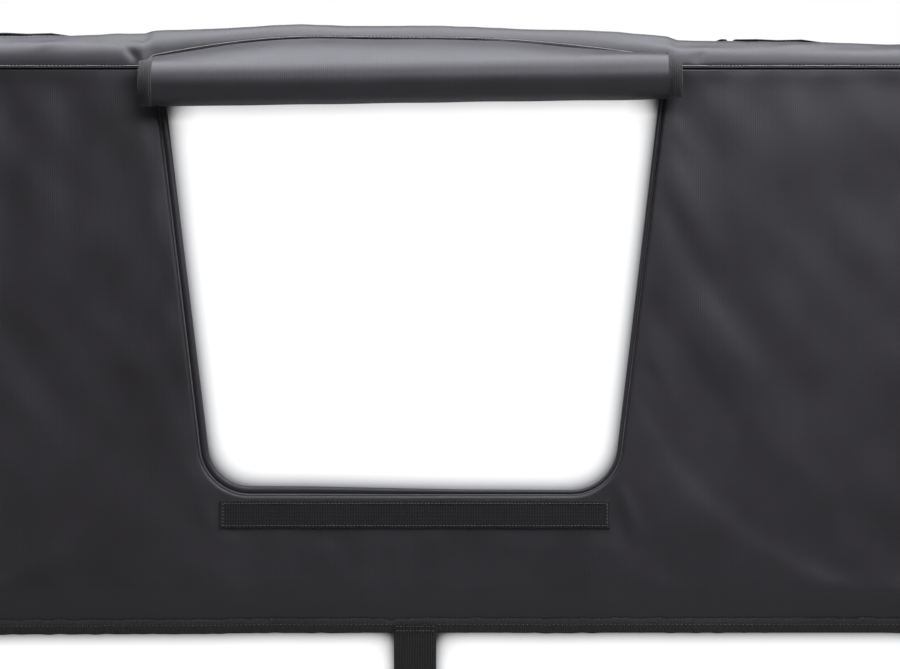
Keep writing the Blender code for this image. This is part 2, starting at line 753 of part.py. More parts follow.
def make_bike_strap(number, web_finish, ring_finish):
    """A strap sewn to the top at one end, that doubles back through a ring held by a tab."""
    centre = (number - (BIKES + 1) / 2) * BIKE_PITCH
    on_top = GAP + WEB / 2
    ring_h = GAP + WEB + GAP + RING_BAR / 2
    over = ring_h + RING_BAR / 2 + GAP + WEB / 2
    doubled = on_top + WEB + GAP
    turn = RING_BAR / 2 + GAP + WEB / 2
    right_bar = RING_LEFT_X + RING_LENGTH - RING_BAR / 2
    left_bar = RING_LEFT_X + RING_BAR / 2

    def place(x, z, across):
        return (x, STRAP_Y + across, z)

    strap = top_path(
        centre,
        [
            (STRAP_ANCHOR_X, on_top),
            (right_bar - turn, on_top),
            (right_bar - turn, over),
            (right_bar + turn, over),
            (right_bar + STRAP_DROP, doubled),
            (STRAP_WAVE_X, doubled),
            (STRAP_LIFT_X, doubled + STRAP_LIFT),
            (STRAP_END_X, doubled),
        ],
    )
    webbing(f"bike_strap_{number}", strap, place, STRAP_WIDTH, web_finish)
    tab = top_path(
        centre,
        [
            (TAB_END_X, on_top),
            (left_bar + turn, on_top),
            (left_bar + turn, over),
            (left_bar - turn, over),
            (left_bar - TAB_DROP, doubled),
            (TAB_END_X, doubled),
        ],
    )
    webbing(f"ring_tab_{number}", tab, place, STRAP_WIDTH, web_finish)

    x0, x1 = RING_LEFT_X, RING_LEFT_X + RING_LENGTH
    window = STRAP_WIDTH / 2 + SLOT_PLAY
    frame_plate(
        f"strap_ring_{number}",
        [x0, x0 + RING_BAR, x1 - RING_BAR, x1],
        [-window - RING_BAR, -window, window, window + RING_BAR],
        [(1, 1)],
        RING_BAR,
        lambda u, v, w: (centre + u, STRAP_Y + v, crest(centre + u) + ring_h + w),
        ring_finish,
    )


def clear_scene():
    for found in list(bpy.data.objects):
        bpy.data.objects.remove(found)


def main():
    clear_scene()
    cover = material("coated_polyester", (0.030, 0.030, 0.033), 0.50)
    foam = material("closed_cell_foam", (0.30, 0.31, 0.33), 0.95)
    lining = material("brushed_lining", (0.045, 0.045, 0.048), 0.95)
    tape = material("binding_tape", (0.014, 0.012, 0.011), 0.85)
    piping = material("corded_piping", (0.008, 0.008, 0.009), 0.55)
    loop = material("loop_tape", (0.010, 0.010, 0.010), 0.95)
    web = material("polyester_webbing", (0.012, 0.011, 0.011), 0.80)
    nylon = material("moulded_nylon", (0.010, 0.010, 0.011), 0.45)
    make_front(cover, foam, lining)
    make_rear(cover, foam, lining)
    make_top(cover, foam, lining)
    make_hem_binding("front_hem_binding", -1, HEM_Z, tape)
    make_hem_binding("rear_hem_binding", 1, REAR_HEM_Z, tape)
    make_end_binding("end_binding_left", LEFT, tape)
    make_end_binding("end_binding_right", RIGHT, tape)
    make_opening_trim(cover, piping)
    make_loop_tape(loop)
    make_flap(cover, tape, loop)
    for name, x in (("left", -ANCHOR_X), ("centre", 0.0), ("right", ANCHOR_X)):
        make_anchor(name, x, web, nylon)
    for number in range(1, BIKES + 1):
        make_bike_strap(number, web, nylon)


main()
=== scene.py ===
"""Looks of a padded tailgate cover: coated fabric over foam, tapes, webbing, stitching and a studio.

It is laid out as an add-on and run as a script: it registers its classes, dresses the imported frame
and sets up the stage. Lengths are in metres, +Z is up, and -Y is the side away from the truck.
"""

import math

import bmesh
import bpy
import numpy as np
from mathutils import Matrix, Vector
from mathutils.geometry import delaunay_2d_cdt
from mathutils.kdtree import KDTree


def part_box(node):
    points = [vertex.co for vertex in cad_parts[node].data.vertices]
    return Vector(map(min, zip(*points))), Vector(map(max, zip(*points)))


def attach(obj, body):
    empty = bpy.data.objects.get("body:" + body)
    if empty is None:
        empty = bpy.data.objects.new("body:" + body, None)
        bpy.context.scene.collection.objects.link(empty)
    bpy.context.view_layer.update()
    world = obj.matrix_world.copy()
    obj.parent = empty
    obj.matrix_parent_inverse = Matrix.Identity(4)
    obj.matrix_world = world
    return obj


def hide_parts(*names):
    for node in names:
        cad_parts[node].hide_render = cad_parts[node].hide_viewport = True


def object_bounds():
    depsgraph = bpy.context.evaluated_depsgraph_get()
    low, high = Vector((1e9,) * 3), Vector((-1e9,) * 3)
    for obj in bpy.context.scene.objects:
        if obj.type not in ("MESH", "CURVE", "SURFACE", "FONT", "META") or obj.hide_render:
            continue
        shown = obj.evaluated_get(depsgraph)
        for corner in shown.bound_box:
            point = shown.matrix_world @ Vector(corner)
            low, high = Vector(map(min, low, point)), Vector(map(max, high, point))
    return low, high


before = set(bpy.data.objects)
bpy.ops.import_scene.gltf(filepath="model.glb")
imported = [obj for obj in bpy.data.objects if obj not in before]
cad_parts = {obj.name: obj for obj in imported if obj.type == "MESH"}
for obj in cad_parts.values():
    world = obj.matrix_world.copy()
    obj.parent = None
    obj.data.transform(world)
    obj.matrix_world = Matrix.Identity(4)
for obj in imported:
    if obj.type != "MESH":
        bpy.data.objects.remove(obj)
CAD_BOX = [list(corner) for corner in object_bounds()]

bl_info = {
    "name": "Tailgate Bike Pad Looks",
    "version": (1, 0, 0),
    "blender": (4, 5, 0),
    "location": "View3D > Sidebar > Bike Pad",
    "description": "Fabric, tapes, webbing, stitching and stage for a padded tailgate cover",
    "category": "Object",
}

BODY = "root"
SIDES = (("left", -1), ("right", 1))
RIGHT, INWARD, UP = (1.0, 0.0, 0.0), (0.0, 1.0, 0.0), (0.0, 0.0, 1.0)
GAP = 0.0003

# Measured on the frame
COVER_LOW, COVER_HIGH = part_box("front_cover")
HALF_WIDTH = COVER_HIGH[0]
HEM_Z = COVER_LOW[2]
FACE_Y = -COVER_LOW[1]
PANEL_TOP_Z = COVER_HIGH[2]
INNER_Y = -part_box("front_lining")[1][1]
REAR_HEM_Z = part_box("rear_cover")[0][2]
SEAM_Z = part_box("top_cover")[0][2]
LAP_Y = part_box("top_cover")[1][1]
FULL = FACE_Y - INNER_Y
TAPE_LOW, TAPE_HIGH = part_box("flap_loop_tape")
FLAP_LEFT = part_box("flap_binding_left")[0][0]
FLAP_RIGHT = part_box("flap_binding_right")[1][0]
FLAP_X = (FLAP_LEFT + FLAP_RIGHT) / 2
BUCKLE_LOW, BUCKLE_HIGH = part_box("anchor_buckle_centre")
ANCHOR_X = {
    name: sum(corner[0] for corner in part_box("anchor_strap_" + name)) / 2
    for name in ("left", "centre", "right")
}
ANCHOR_LOW_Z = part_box("anchor_strap_centre")[0][2]
BIKES = sum(1 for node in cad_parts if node.startswith("strap_ring_"))

# Padding near a bound edge
BINDING_WIDTH = 0.0120
BINDING = 0.0010
EDGE = 0.0070
TAPER_WIDTH = 0.033
SINK = FULL - EDGE

# Top panel
CREST_TILT = -0.0085
TOP_CORNER = 0.0220
ARC_Y = LAP_Y - TOP_CORNER
ARC_Z = FULL - TOP_CORNER
LINING_CORNER = -PANEL_TOP_Z
SEAM_RISE = 0.0265
RIDGE_RISE = 0.0142
SEAM_SETBACK = 0.0087
RIDGE_Y = -0.0220
RIDGE_FOOT_Y = -0.0020
END_RISE = 0.27
RISE_LEFT = 0.165
RISE_RIGHT = 0.205
RISE_START = 0.012

# Handle opening
OPENING_X = -0.0040
OPENING_HALF = 0.2316
OPENING_SLANT = 0.1196
OPENING_BOTTOM_Z = -0.3946
OPENING_CORNER = 0.0460

# Rolled flap
FLAP = 0.0016
FLAP_BINDING = 0.00035
FLAP_BINDING_WIDTH = 0.0120
ROLL_RADIUS = 0.0215
ROLL_Z = -0.0228
ROLL_TILT = 0.014
ROLL_CLEARANCE = 0.0010
ROLL_PITCH = 0.0033
ROLL_START = math.radians(135)
ROLL_TURNS = 52 / 12
HOOK_TAPE = 0.0010
SQUEEZE_LEFT = 0.0018
SQUEEZE_RIGHT = 0.0036
SQUEEZE_REACH = 0.011
FLAP_TRIM = 0.0025
LEAD_BLEND = math.radians(15)
LEAD_STEPS = 14
JOIN = 2 / 12
HOOK_TURN = 8 / 12

# Webbing
WEB = 0.0016
WEB_WIDTH = 0.0380
BEND = GAP + WEB / 2
ANCHOR_BEND = 0.0120
ANCHOR_TAIL = 0.1300
BUCKLE_BAR = 0.0040
BUCKLE_SLOT = 0.0100
TAB_OVERLAP = 0.0100
STRAP_Y = 0.0180
RING_BAR = 0.0030
RING_LENGTH = 0.0150
STRAP_LIFT = 0.0018
STRAP_REACH = 0.0850
STRAP_STITCH = 0.0030
STRAP_SEAM = WEB_WIDTH / 2 - 0.003
RING_OFFSET = 0.0625

# Camera: the photograph spans this much of the front face, this far from the pad's middle
VIEW_WIDTH = 0.810
VIEW_X = 0.0315
VIEW_Z = -0.2500
VIEW_DISTANCE = 3.6
SENSOR = 36.0


def linear(code):
    """Linear red, green and blue of an sRGB hex code."""
    parts = [int(code[k : k + 2], 16) / 255 for k in (1, 3, 5)]
    return [c / 12.92 if c <= 0.04045 else ((c + 0.055) / 1.055) ** 2.4 for c in parts]


def measure(label, about, default):
    return bpy.props.FloatProperty(
        name=label, description=about, default=default, unit="LENGTH", min=0.0, precision=4
    )


class PadSizes(bpy.types.PropertyGroup):
    """Sizes of what is sewn on, in metres."""

    cell: measure("Cell", "Spacing of the panels' mesh", 0.005)
    rib: measure("Rib", "Pitch of the cover's vertical ribs", 0.0019)
    stitch: measure("Stitch", "Pitch of the seams' stitches", 0.0034)
    hem_stitch: measure("Hem stitch", "Pitch of the hems' stitches", 0.0040)
    thread: measure("Thread", "Thickness of the sewing thread", 0.0009)
    ripple: measure("Ripple", "Depth of the cover's soft waves", 0.0011)


def colour(label, code):
    return bpy.props.FloatVectorProperty(
        name=label, description=label + ", linear", default=linear(code), subtype="COLOR", min=0, max=1
    )


class PadColours(bpy.types.PropertyGroup):
    """Base colours of the materials."""

    cover: colour("Coated cover", "#2A2729")
    lining: colour("Brushed lining", "#3A3A3D")
    binding: colour("Binding tape", "#110E0D")
    thread: colour("Seam thread", "#6A6664")
    tape_thread: colour("Tape thread", "#45413F")
    webbing: colour("Webbing", "#090706")
    loop: colour("Loop tape", "#0A090A")
    nylon: colour("Moulded nylon", "#18181A")
    stage: colour("Stage", "#F4F4F4")


# Materials


def add(tree, kind, inputs=None, **settings):
    """Adds a shader node with its settings. An input is a value, or the socket that feeds it."""
    node = tree.nodes.new("ShaderNode" + kind)
    for key, value in settings.items():
        setattr(node, key, value)
    for key, value in (inputs or {}).items():
        if isinstance(value, bpy.types.NodeSocket):
            tree.links.new(value, node.inputs[key])
        else:
            node.inputs[key].default_value = value
    return node


def band_scale(pitch):
    """The wave texture's scale at which its bands are a pitch apart."""
    return 2 * math.pi / 20 / pitch


def finish(name, base, roughness, **sockets):
    """A new principled material: its tree, its shader and the material itself."""
    made = bpy.data.materials.new(name)
    made.use_nodes = True
    shader = made.node_tree.nodes["Principled BSDF"]
    shader.inputs["Base Color"].default_value = (*base, 1.0)
    shader.inputs["Roughness"].default_value = roughness
    for key, value in sockets.items():
        shader.inputs[key.replace("_", " ").title().replace("Ior", "IOR")].default_value = value
    return made, made.node_tree, shader


def weave(tree, shader, warp, weft, depth, fuzz=0.0):
    """Bumps of a woven cloth: ribs along it, picks across and a fuzz of loose fibre. Returns the ribs."""
    place = add(tree, "UVMap", uv_map="metres").outputs["UV"]
    ribs = add(tree, "TexWave", {"Vector": place, "Scale": band_scale(warp)}, bands_direction="X")
    picks = add(tree, "TexWave", {"Vector": place, "Scale": band_scale(weft)}, bands_direction="Y")
    rib, pick = ribs.outputs["Fac"], picks.outputs["Fac"]
    height = add(tree, "Math", {0: rib, 1: pick, 2: rib}, operation="MULTIPLY_ADD")
    if fuzz:
        fibre = add(tree, "TexNoise", {"Vector": place, "Scale": 2600.0, "Detail": 2.0}).outputs["Fac"]
        height = add(tree, "Math", {0: fibre, 1: fuzz, 2: height.outputs[0]}, operation="MULTIPLY_ADD")
    bump = add(tree, "Bump", {"Height": height.outputs[0], "Distance": depth})
    tree.links.new(bump.outputs["Normal"], shader.inputs["Normal"])
    return rib


def mottle(tree, shader, base, gain, scale, roughness, ribs=None):
    """Uneven colour and gloss: noise gives a random tone, and a weave's ribs a painted highlight on their
    crests, lightening the base by up to its gain.
    """
    where = add(tree, "TexCoord").outputs["Object"]
    noise = add(tree, "TexNoise", {"Vector": where, "Scale": scale, "Detail": 4.0, "Roughness": 0.65})
    share = add(tree, "MapRange", {"Value": noise.outputs["Fac"], "From Min": 0.3, "From Max": 0.7})
    share = share.outputs["Result"]
    low, high = roughness
    gloss = add(tree, "MapRange", {"Value": share, "To Min": low, "To Max": high})
    tree.links.new(gloss.outputs["Result"], shader.inputs["Roughness"])
    # The ribs lighten the colour on their crests: a painted highlight. The noise alone is the cloth's random
    # tone
    if ribs:
        share = add(tree, "Mix", {"Factor": 0.75, "A": share, "B": ribs}).outputs["Result"]
    light = [min(1.0, c * gain) for c in base]
    tone = add(tree, "Mix", {"Factor": share, 6: (*base, 1.0), 7: (*light, 1.0)}, data_type="RGBA")
    tree.links.new(tone.outputs[2], shader.inputs["Base Color"])


def coated_cover(sizes, colours):
    """Polyester with a calendered coat: the weave's ribs show through as a fine satin relief."""
    made, tree, shader = finish("coated_polyester_satin", colours.cover, 0.46, ior=1.50)
    # Real threads are about 1 mm apart. They are drawn coarser, so that they show
    weave(tree, shader, sizes.rib, 0.0017, 0.00003)
    mottle(tree, shader, colours.cover, 1.25, 9.0, (0.40, 0.50))
    return made


def brushed_lining(sizes, colours):
    """Knitted polyester, brushed: dull, with a soft nap."""
    made, tree, shader = finish("polyester_lining_brushed", colours.lining, 0.95, sheen_weight=0.25)
    weave(tree, shader, 0.0011, 0.0013, 0.00010, fuzz=0.8)
    mottle(tree, shader, colours.lining, 1.3, 30.0, (0.90, 1.0))
    return made


def binding_tape(sizes, colours):
    """Spun polypropylene tape: dull, with specks of loose fibre."""
    made, tree, shader = finish("polypropylene_tape_matte", colours.binding, 0.85, sheen_weight=0.15)
    # Real ribs are under 1 mm apart. They are drawn coarser, so that they show
    weave(tree, shader, 0.0016, 0.0012, 0.00035, fuzz=1.0)
    mottle(tree, shader, colours.binding, 4.0, 520.0, (0.78, 0.95))
    return made


def polyester_webbing(sizes, colours):
    """Filament polyester webbing: firm ribs along its length, a slight shine on each, partly from sheen and
    partly a painted highlight in the colour.
    """
    made, tree, shader = finish("polyester_webbing_ribbed", colours.webbing, 0.62, sheen_weight=0.1)
    # The photograph shows ribs about 2.3 mm apart
    ribs = weave(tree, shader, 0.0023, 0.0012, 0.00045, fuzz=0.2)
    # The ribs passed here lighten the colour on their crests: a painted highlight
    mottle(tree, shader, colours.webbing, 4.6, 300.0, (0.74, 0.92), ribs)
    return made


def loop_pile(sizes, colours):
    """Nylon loop tape: a dense pile in rows, which takes nearly all the light."""
    made, tree, shader = finish("nylon_loop_pile_matte", colours.loop, 0.92, sheen_weight=0.15)
    # Real rows are about 1 mm apart. They are drawn coarser, so that they show
    ribs = weave(tree, shader, 0.0023, 0.0034, 0.00035, fuzz=0.9)
    # The rows passed here lighten the colour on their crests: a painted highlight
    mottle(tree, shader, colours.loop, 2.4, 420.0, (0.86, 0.98), ribs)
    return made


def twisted_thread(name, base):
    """Twisted polyester thread: small round stitches with a satin edge."""
    made, tree, shader = finish(name, base, 0.55)
    mottle(tree, shader, base, 1.6, 500.0, (0.48, 0.62))
    return made


def seam_thread(sizes, colours):
    """Grey thread, which stands out from the cover along the top panel's seams."""
    return twisted_thread("polyester_thread_satin", colours.thread)


def tape_thread(sizes, colours):
    """Black thread, which nearly disappears in the tapes and the webbing."""
    return twisted_thread("black_polyester_thread_satin", colours.tape_thread)


def moulded_nylon(sizes, colours):
    """Nylon moulded in a spark-textured tool: satin, with a very fine grain."""
    made, tree, shader = finish("moulded_nylon_satin", colours.nylon, 0.42, ior=1.53)
    where = add(tree, "TexCoord").outputs["Object"]
    grain = add(tree, "TexNoise", {"Vector": where, "Scale": 1800.0, "Detail": 2.0})
    bump = add(tree, "Bump", {"Height": grain.outputs["Fac"], "Distance": 0.00003, "Strength": 0.6})
    tree.links.new(bump.outputs["Normal"], shader.inputs["Normal"])
    mottle(tree, shader, colours.nylon, 1.3, 60.0, (0.38, 0.48))
    return made


MAKERS = {
    "coated_cover": coated_cover,
    "lining": brushed_lining,
    "binding": binding_tape,
    "webbing": polyester_webbing,
    "hook_and_loop": loop_pile,
    "thread": seam_thread,
    "tape_thread": tape_thread,
    "nylon": moulded_nylon,
}
MADE = {}


def material(key):
    """The material of a slot, made once."""
    if key not in MADE:
        scene = bpy.context.scene
        MADE[key] = MAKERS[key](scene.pad_sizes, scene.pad_colours)
    return MADE[key]


# Meshes


def placed(name, data):
    """A new object of the scene with the data of a mesh, a light or a camera."""
    made = bpy.data.objects.new(name, data)
    bpy.context.scene.collection.objects.link(made)
    return made


def new_piece(name, points, faces, uvs, keys, face_keys=None):
    """A smooth mesh object that rides on the frame. uvs holds each face corner's place in metres."""
    mesh = bpy.data.meshes.new(name)
    mesh.from_pydata(np.asarray(points, float).tolist(), [], faces)
    layer = mesh.uv_layers.new(name="metres")
    layer.uv.foreach_set("vector", np.asarray(uvs, np.float32).ravel())
    for key in keys:
        mesh.materials.append(material(key))
    if face_keys is not None:
        mesh.polygons.foreach_set("material_index", np.asarray(face_keys, np.int32))
    mesh.shade_smooth()
    made = placed(name, mesh)
    if volume(mesh) < 0:
        mesh.flip_normals()
    return made


def volume(mesh):
    """Signed volume of a closed mesh."""
    mesh.calc_loop_triangles()
    count = len(mesh.loop_triangles)
    corners = np.empty(count * 3, np.int32)
    mesh.loop_triangles.foreach_get("vertices", corners)
    points = vertices(mesh)[corners].reshape(count, 3, 3)
    return float(np.einsum("ij,ij->i", points[:, 0], np.cross(points[:, 1], points[:, 2])).sum() / 6)


def vertices(mesh):
    points = np.empty(len(mesh.vertices) * 3)
    mesh.vertices.foreach_get("co", points)
    return points.reshape(-1, 3)


def dress(piece, slot, *nodes):
    """Puts a piece on the frame in place of CAD nodes."""
    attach(piece, BODY)
    if nodes:
        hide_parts(*nodes)
    return piece


def unit(vectors):
    """The same directions with length 1."""
    return vectors / np.linalg.norm(vectors, axis=-1, keepdims=True)


def turned_left(directions):
    """Directions in a plane, turned left by a right angle."""
    return np.stack([-directions[:, 1], directions[:, 0]], axis=1)


def at_x(x, line):
    """Points in the plane at x, from rows of y and z."""
    return np.column_stack([np.full(len(line), x), line])


def running(points):
    """Distance along a line of points."""
    steps = np.linalg.norm(np.diff(points, axis=0), axis=1)
    return np.concatenate([[0.0], np.cumsum(steps)])


def resampled(points, step):
    """The same line with points about a step apart."""
    points = np.asarray(points, float)
    along = running(points)
    count = max(2, round(along[-1] / step) + 1)
    wanted = np.linspace(0.0, along[-1], count)
    return np.stack([np.interp(wanted, along, points[:, k]) for k in range(points.shape[1])], axis=1)


def sweep(name, sections, keys, face_keys=None, turned=False):
    """A closed solid through outlines of equal length, an array of stations, points and x, y, z.

    face_keys gives the material of each side of the outline. The weave's ribs run along the stations,
    or round the outline where it is turned."""
    sections = np.asarray(sections, float)
    stations, count = sections.shape[:2]
    sides = np.linalg.norm(np.roll(sections, -1, axis=1) - sections, axis=2).mean(axis=0)
    around = np.concatenate([[0.0], np.cumsum(sides)])
    along = running(sections.mean(axis=1))
    i, j = np.meshgrid(np.arange(stations - 1), np.arange(count), indexing="ij")
    k = (j + 1) % count
    quads = np.stack([i * count + j, i * count + k, (i + 1) * count + k, (i + 1) * count + j], axis=-1)
    u = np.stack([around[j], around[j + 1], around[j + 1], around[j]], axis=-1)
    v = np.stack([along[i], along[i], along[i + 1], along[i + 1]], axis=-1)
    uvs = np.stack([v, u] if turned else [u, v], axis=-1).reshape(-1, 2)
    ends = [list(range(start, start + count)) for start in (0, (stations - 1) * count)]
    spots = np.stack([around[:count], np.zeros(count)], axis=1)
    marks = np.tile(np.zeros(count) if face_keys is None else face_keys, stations - 1)
    faces = quads.reshape(-1, 4).tolist() + ends
    uvs = np.concatenate([uvs, spots, spots])
    return new_piece(name, sections.reshape(-1, 3), faces, uvs, keys, np.append(marks, [0, 0]))


def grid_quads(index):
    """Four corners for each cell of a grid of point numbers."""
    corners = [index[:-1, :-1], index[1:, :-1], index[1:, 1:], index[:-1, 1:]]
    return np.stack(corners, axis=-1).reshape(-1, 4)


def lattice(name, outer, inner, keys, place):
    """The closed body between two grids of points. place holds the grids' u and v in metres."""
    outer, inner = np.asarray(outer, float), np.asarray(inner, float)
    rows, columns = outer.shape[:2]
    under = rows * columns
    index = np.arange(under).reshape(rows, columns)
    quads = grid_quads(index)
    edge = np.concatenate([index[:, 0], index[-1, 1:], index[-2::-1, -1], index[0, -2:0:-1]])
    after = np.roll(edge, -1)
    rim = np.stack([edge, after, after + under, edge + under], axis=-1)
    faces = np.concatenate([quads, quads[:, ::-1] + under, rim])
    spots = np.concatenate([place.reshape(-1, 2)] * 2)
    points = np.concatenate([outer.reshape(-1, 3), inner.reshape(-1, 3)])
    return new_piece(name, points, faces.tolist(), spots[faces.ravel()], keys)


def ribbon_section(width, thickness):
    """Outline of flat webbing with rounded edges, as places across and out."""
    half, radius = width / 2, thickness / 2
    flat = np.linspace(-half + radius, half - radius, 9)
    bend = np.linspace(-math.pi / 2, math.pi / 2, 5)[1:-1]
    edge = [(half - radius + radius * math.cos(a), radius * math.sin(a)) for a in bend]
    outline = [(a, -radius) for a in flat] + edge + [(a, radius) for a in flat[::-1]]
    return np.array(outline + [(-a, -n) for a, n in edge])


def frames(points, across):
    """Unit outward directions along a line, square to it and to across."""
    return np.cross(unit(np.gradient(points, axis=0)), across)


def ribbon(name, points, across, width, thickness, slot, *nodes, turned=False):
    """Webbing along a line of points, with its width along across."""
    across = np.broadcast_to(np.asarray(across, float), np.shape(points))
    out = frames(points, across)
    section = ribbon_section(width, thickness)
    solid = points[:, None] + section[None, :, :1] * across[:, None] + section[None, :, 1:] * out[:, None]
    return dress(sweep(name, solid, [slot], turned=turned), slot, *nodes)


def webbing(name, points, across, node):
    """A strap of the pad's webbing along a line of points."""
    return ribbon(name, points, across, WEB_WIDTH, WEB, "webbing", node)


def arc(centre, radius, start, end, steps):
    angles = np.linspace(start, end, steps + 1)
    return [(centre[0] + radius * math.cos(a), centre[1] + radius * math.sin(a)) for a in angles]


def rounded(corners, steps=6):
    """A path through corners given as (point, bend radius), with an arc at each bend."""
    path = [corners[0][0]]
    for (before, _), (here, radius), (after, _) in zip(corners, corners[1:], corners[2:]):
        into = np.subtract(before, here) / math.dist(before, here)
        out = np.subtract(after, here) / math.dist(after, here)
        half = math.acos(max(-1.0, min(1.0, float(into @ out)))) / 2
        start = here + into * radius / math.tan(half)
        centre = here + (into + out) / np.linalg.norm(into + out) * radius / math.sin(half)
        first = math.atan2(*(start - centre)[::-1])
        turn = math.pi - 2 * half
        if into[0] * out[1] - into[1] * out[0] > 0:
            turn = -turn
        path += arc(centre, radius, first, first + turn, steps)
    return path + [corners[-1][0]]


# Stitches


STITCH_SIDES = 6
STITCH_RINGS = (
    # place along the stitch, and thickness and height as shares of the thread's radius
    (-0.50, 0.35, -0.50),
    (-0.32, 0.90, 0.10),
    (0.00, 1.00, 0.35),
    (0.32, 0.90, 0.10),
    (0.50, 0.35, -0.50),
)


def stitch_shape(length, thickness):
    """One stitch along X: rings of points that dip into the cloth at both ends."""
    rings = []
    for place, size, rise in STITCH_RINGS:
        for k in range(STITCH_SIDES):
            angle = 2 * math.pi * k / STITCH_SIDES
            radius = thickness / 2 * size
            rings.append((place * length, radius * math.cos(angle), radius * (math.sin(angle) + rise)))
    return np.array(rings)


def stitches(name, rows, pitch, thread, share=0.72, kind="tape_thread"):
    """Rows of stitches along lines. Each row is a line of points and the cloth's outward directions."""
    shape = stitch_shape(pitch * share, thread)
    rings = np.arange(len(shape)).reshape(-1, STITCH_SIDES)
    after = np.roll(rings, -1, axis=1)
    cells = np.stack([rings[:-1], after[:-1], after[1:], rings[1:]], axis=-1).reshape(-1, 4).tolist()
    cells += [rings[0, ::-1].tolist(), rings[-1].tolist()]
    points, faces = [], []
    for line, ups in rows:
        both = resampled(np.hstack([line, ups]), pitch)
        where, up = both[:, :3], unit(both[:, 3:])
        forward = unit(np.gradient(where, axis=0))
        axes = np.stack([forward, np.cross(up, forward), up], axis=1)
        for centre, turned in zip(where, axes):
            base = len(points) * len(shape)
            points.append(centre + shape @ turned)
            faces += [[base + k for k in cell] for cell in cells]
    corner_count = sum(len(face) for face in faces)
    made = new_piece(name, np.concatenate(points), faces, np.zeros((corner_count, 2)), [kind])
    return dress(made, None)


# Shape of the padding


def smooth_noise(x, z, seed, size):
    """Soft noise of about -1 to 1 with waves about a size long: a few sines in fixed directions."""
    chance = np.random.default_rng(seed)
    total = np.zeros(np.broadcast(x, z).shape)
    for _ in range(7):
        angle = chance.uniform(0, math.pi)
        phase = chance.uniform(0, 2 * math.pi)
        wave = size * chance.uniform(0.6, 1.7)
        total += np.sin(2 * math.pi * (x * math.cos(angle) + z * math.sin(angle)) / wave + phase)
    return total / 3.5


def creased(x, z, creases):
    """Height of listed creases: each a soft line from one place to another."""
    total = np.zeros(np.broadcast(x, z).shape)
    for ax, az, bx, bz, size, depth in creases:
        run = np.array([bx - ax, bz - az])
        share = np.clip(((x - ax) * run[0] + (z - az) * run[1]) / (run @ run), 0.0, 1.0)
        away = np.hypot(x - ax - share * run[0], z - az - share * run[1])
        total += depth * np.exp(-((away / size) ** 2)) * np.sin(math.pi * np.clip(share, 0.06, 0.94))
    return total


def shoulder(distance):
    """How full the padding is at a distance from a bound edge."""
    share = np.clip((distance - BINDING_WIDTH) / TAPER_WIDTH, 0.0, 1.0)
    return np.sin(math.pi / 2 * share)


def sink(x, z=None, hem_z=None):
    """How far the padding lies below its full thickness."""
    full = shoulder(HALF_WIDTH - np.abs(x))
    if z is not None:
        full = full * shoulder(z - hem_z)
    return SINK * (1 - full)


def rise(x):
    """How much of the flap's lift the top panel has at x."""
    deep = (FLAP_RIGHT - FLAP_LEFT) / 2 - FLAP_TRIM - np.abs(x - FLAP_X)
    first = np.clip(deep / RISE_START, 0.0, 1.0)
    span = np.where(x < FLAP_X, RISE_LEFT, RISE_RIGHT)
    rest = np.sin(math.pi / 2 * np.clip(deep / span, 0.0, 1.0))
    return END_RISE * first * first * (3 - 2 * first) + (1 - END_RISE) * rest


def opening_side_x(z):
    return OPENING_HALF - OPENING_SLANT * (SEAM_Z - z)


def opening_outline(top_z, wider=0.0, steps=24):
    """The handle opening's outline from its top left, down, across and up, as (x, z)."""
    slant = math.atan(OPENING_SLANT)
    centre_z = OPENING_BOTTOM_Z + OPENING_CORNER
    centre_x = opening_side_x(centre_z) - OPENING_CORNER / math.cos(slant)
    right = arc((centre_x, centre_z), OPENING_CORNER + wider, -math.pi / 2, -slant, steps)
    right.append((opening_side_x(top_z) + wider / math.cos(slant), top_z))
    left = [(-x, z) for x, z in reversed(right)]
    return np.array([(OPENING_X + x, z) for x, z in left + right])


ARC_STEPS = 12
RIDGE_STEPS = 10


def flat_profile(depth):
    """The top panel's section where it lies flat, as rows of y and z, front edge first."""
    radius = TOP_CORNER - depth
    front = arc((-ARC_Y, ARC_Z), radius, math.pi, math.pi / 2, ARC_STEPS)
    rear = arc((ARC_Y, ARC_Z), radius, math.pi / 2, 0.0, ARC_STEPS)
    shares = np.linspace(0.0, 1.0, RIDGE_STEPS + 1)[1:]
    middle = [(-ARC_Y + (RIDGE_FOOT_Y + ARC_Y) * share, FULL - depth) for share in shares]
    return np.array([(-LAP_Y + depth, SEAM_Z)] + front + middle + rear + [(LAP_Y - depth, SEAM_Z)])


def lifted_profile(depth):
    """The same section over the middle of the flap, where the panel's front stands up in a ridge."""
    edge_y, edge_z = -LAP_Y + SEAM_SETBACK, SEAM_Z + SEAM_RISE
    height, run, back = FULL + RIDGE_RISE - edge_z, RIDGE_Y - edge_y, RIDGE_FOOT_Y - RIDGE_Y
    left_over = np.linspace(1.0, 0.0, ARC_STEPS + 2)
    angle = np.linspace(0.0, math.pi, RIDGE_STEPS + 1)[1:]
    y = np.concatenate([RIDGE_Y - run * left_over, RIDGE_Y + back * angle / math.pi])
    rear_z = FULL + RIDGE_RISE * (1 + np.cos(angle)) / 2
    z = np.concatenate([FULL + RIDGE_RISE - height * left_over**2, rear_z])
    rear_slope = -RIDGE_RISE * math.pi / 2 * np.sin(angle) / back
    slope = np.concatenate([2 * height * left_over / run, rear_slope])
    tilt = np.hypot(1.0, slope)
    section = np.stack([y + depth * slope / tilt, z - depth / tilt], axis=1)
    return np.concatenate([section, flat_profile(depth)[len(section) :]])


def stretched(z, x):
    """A height in the top panel, stretched away from its seam: fuller at the left than at the right."""
    tilt = CREST_TILT * x * shoulder(HALF_WIDTH - abs(x))
    return SEAM_Z + (z - SEAM_Z) * (1 + tilt / (FULL - SEAM_Z))


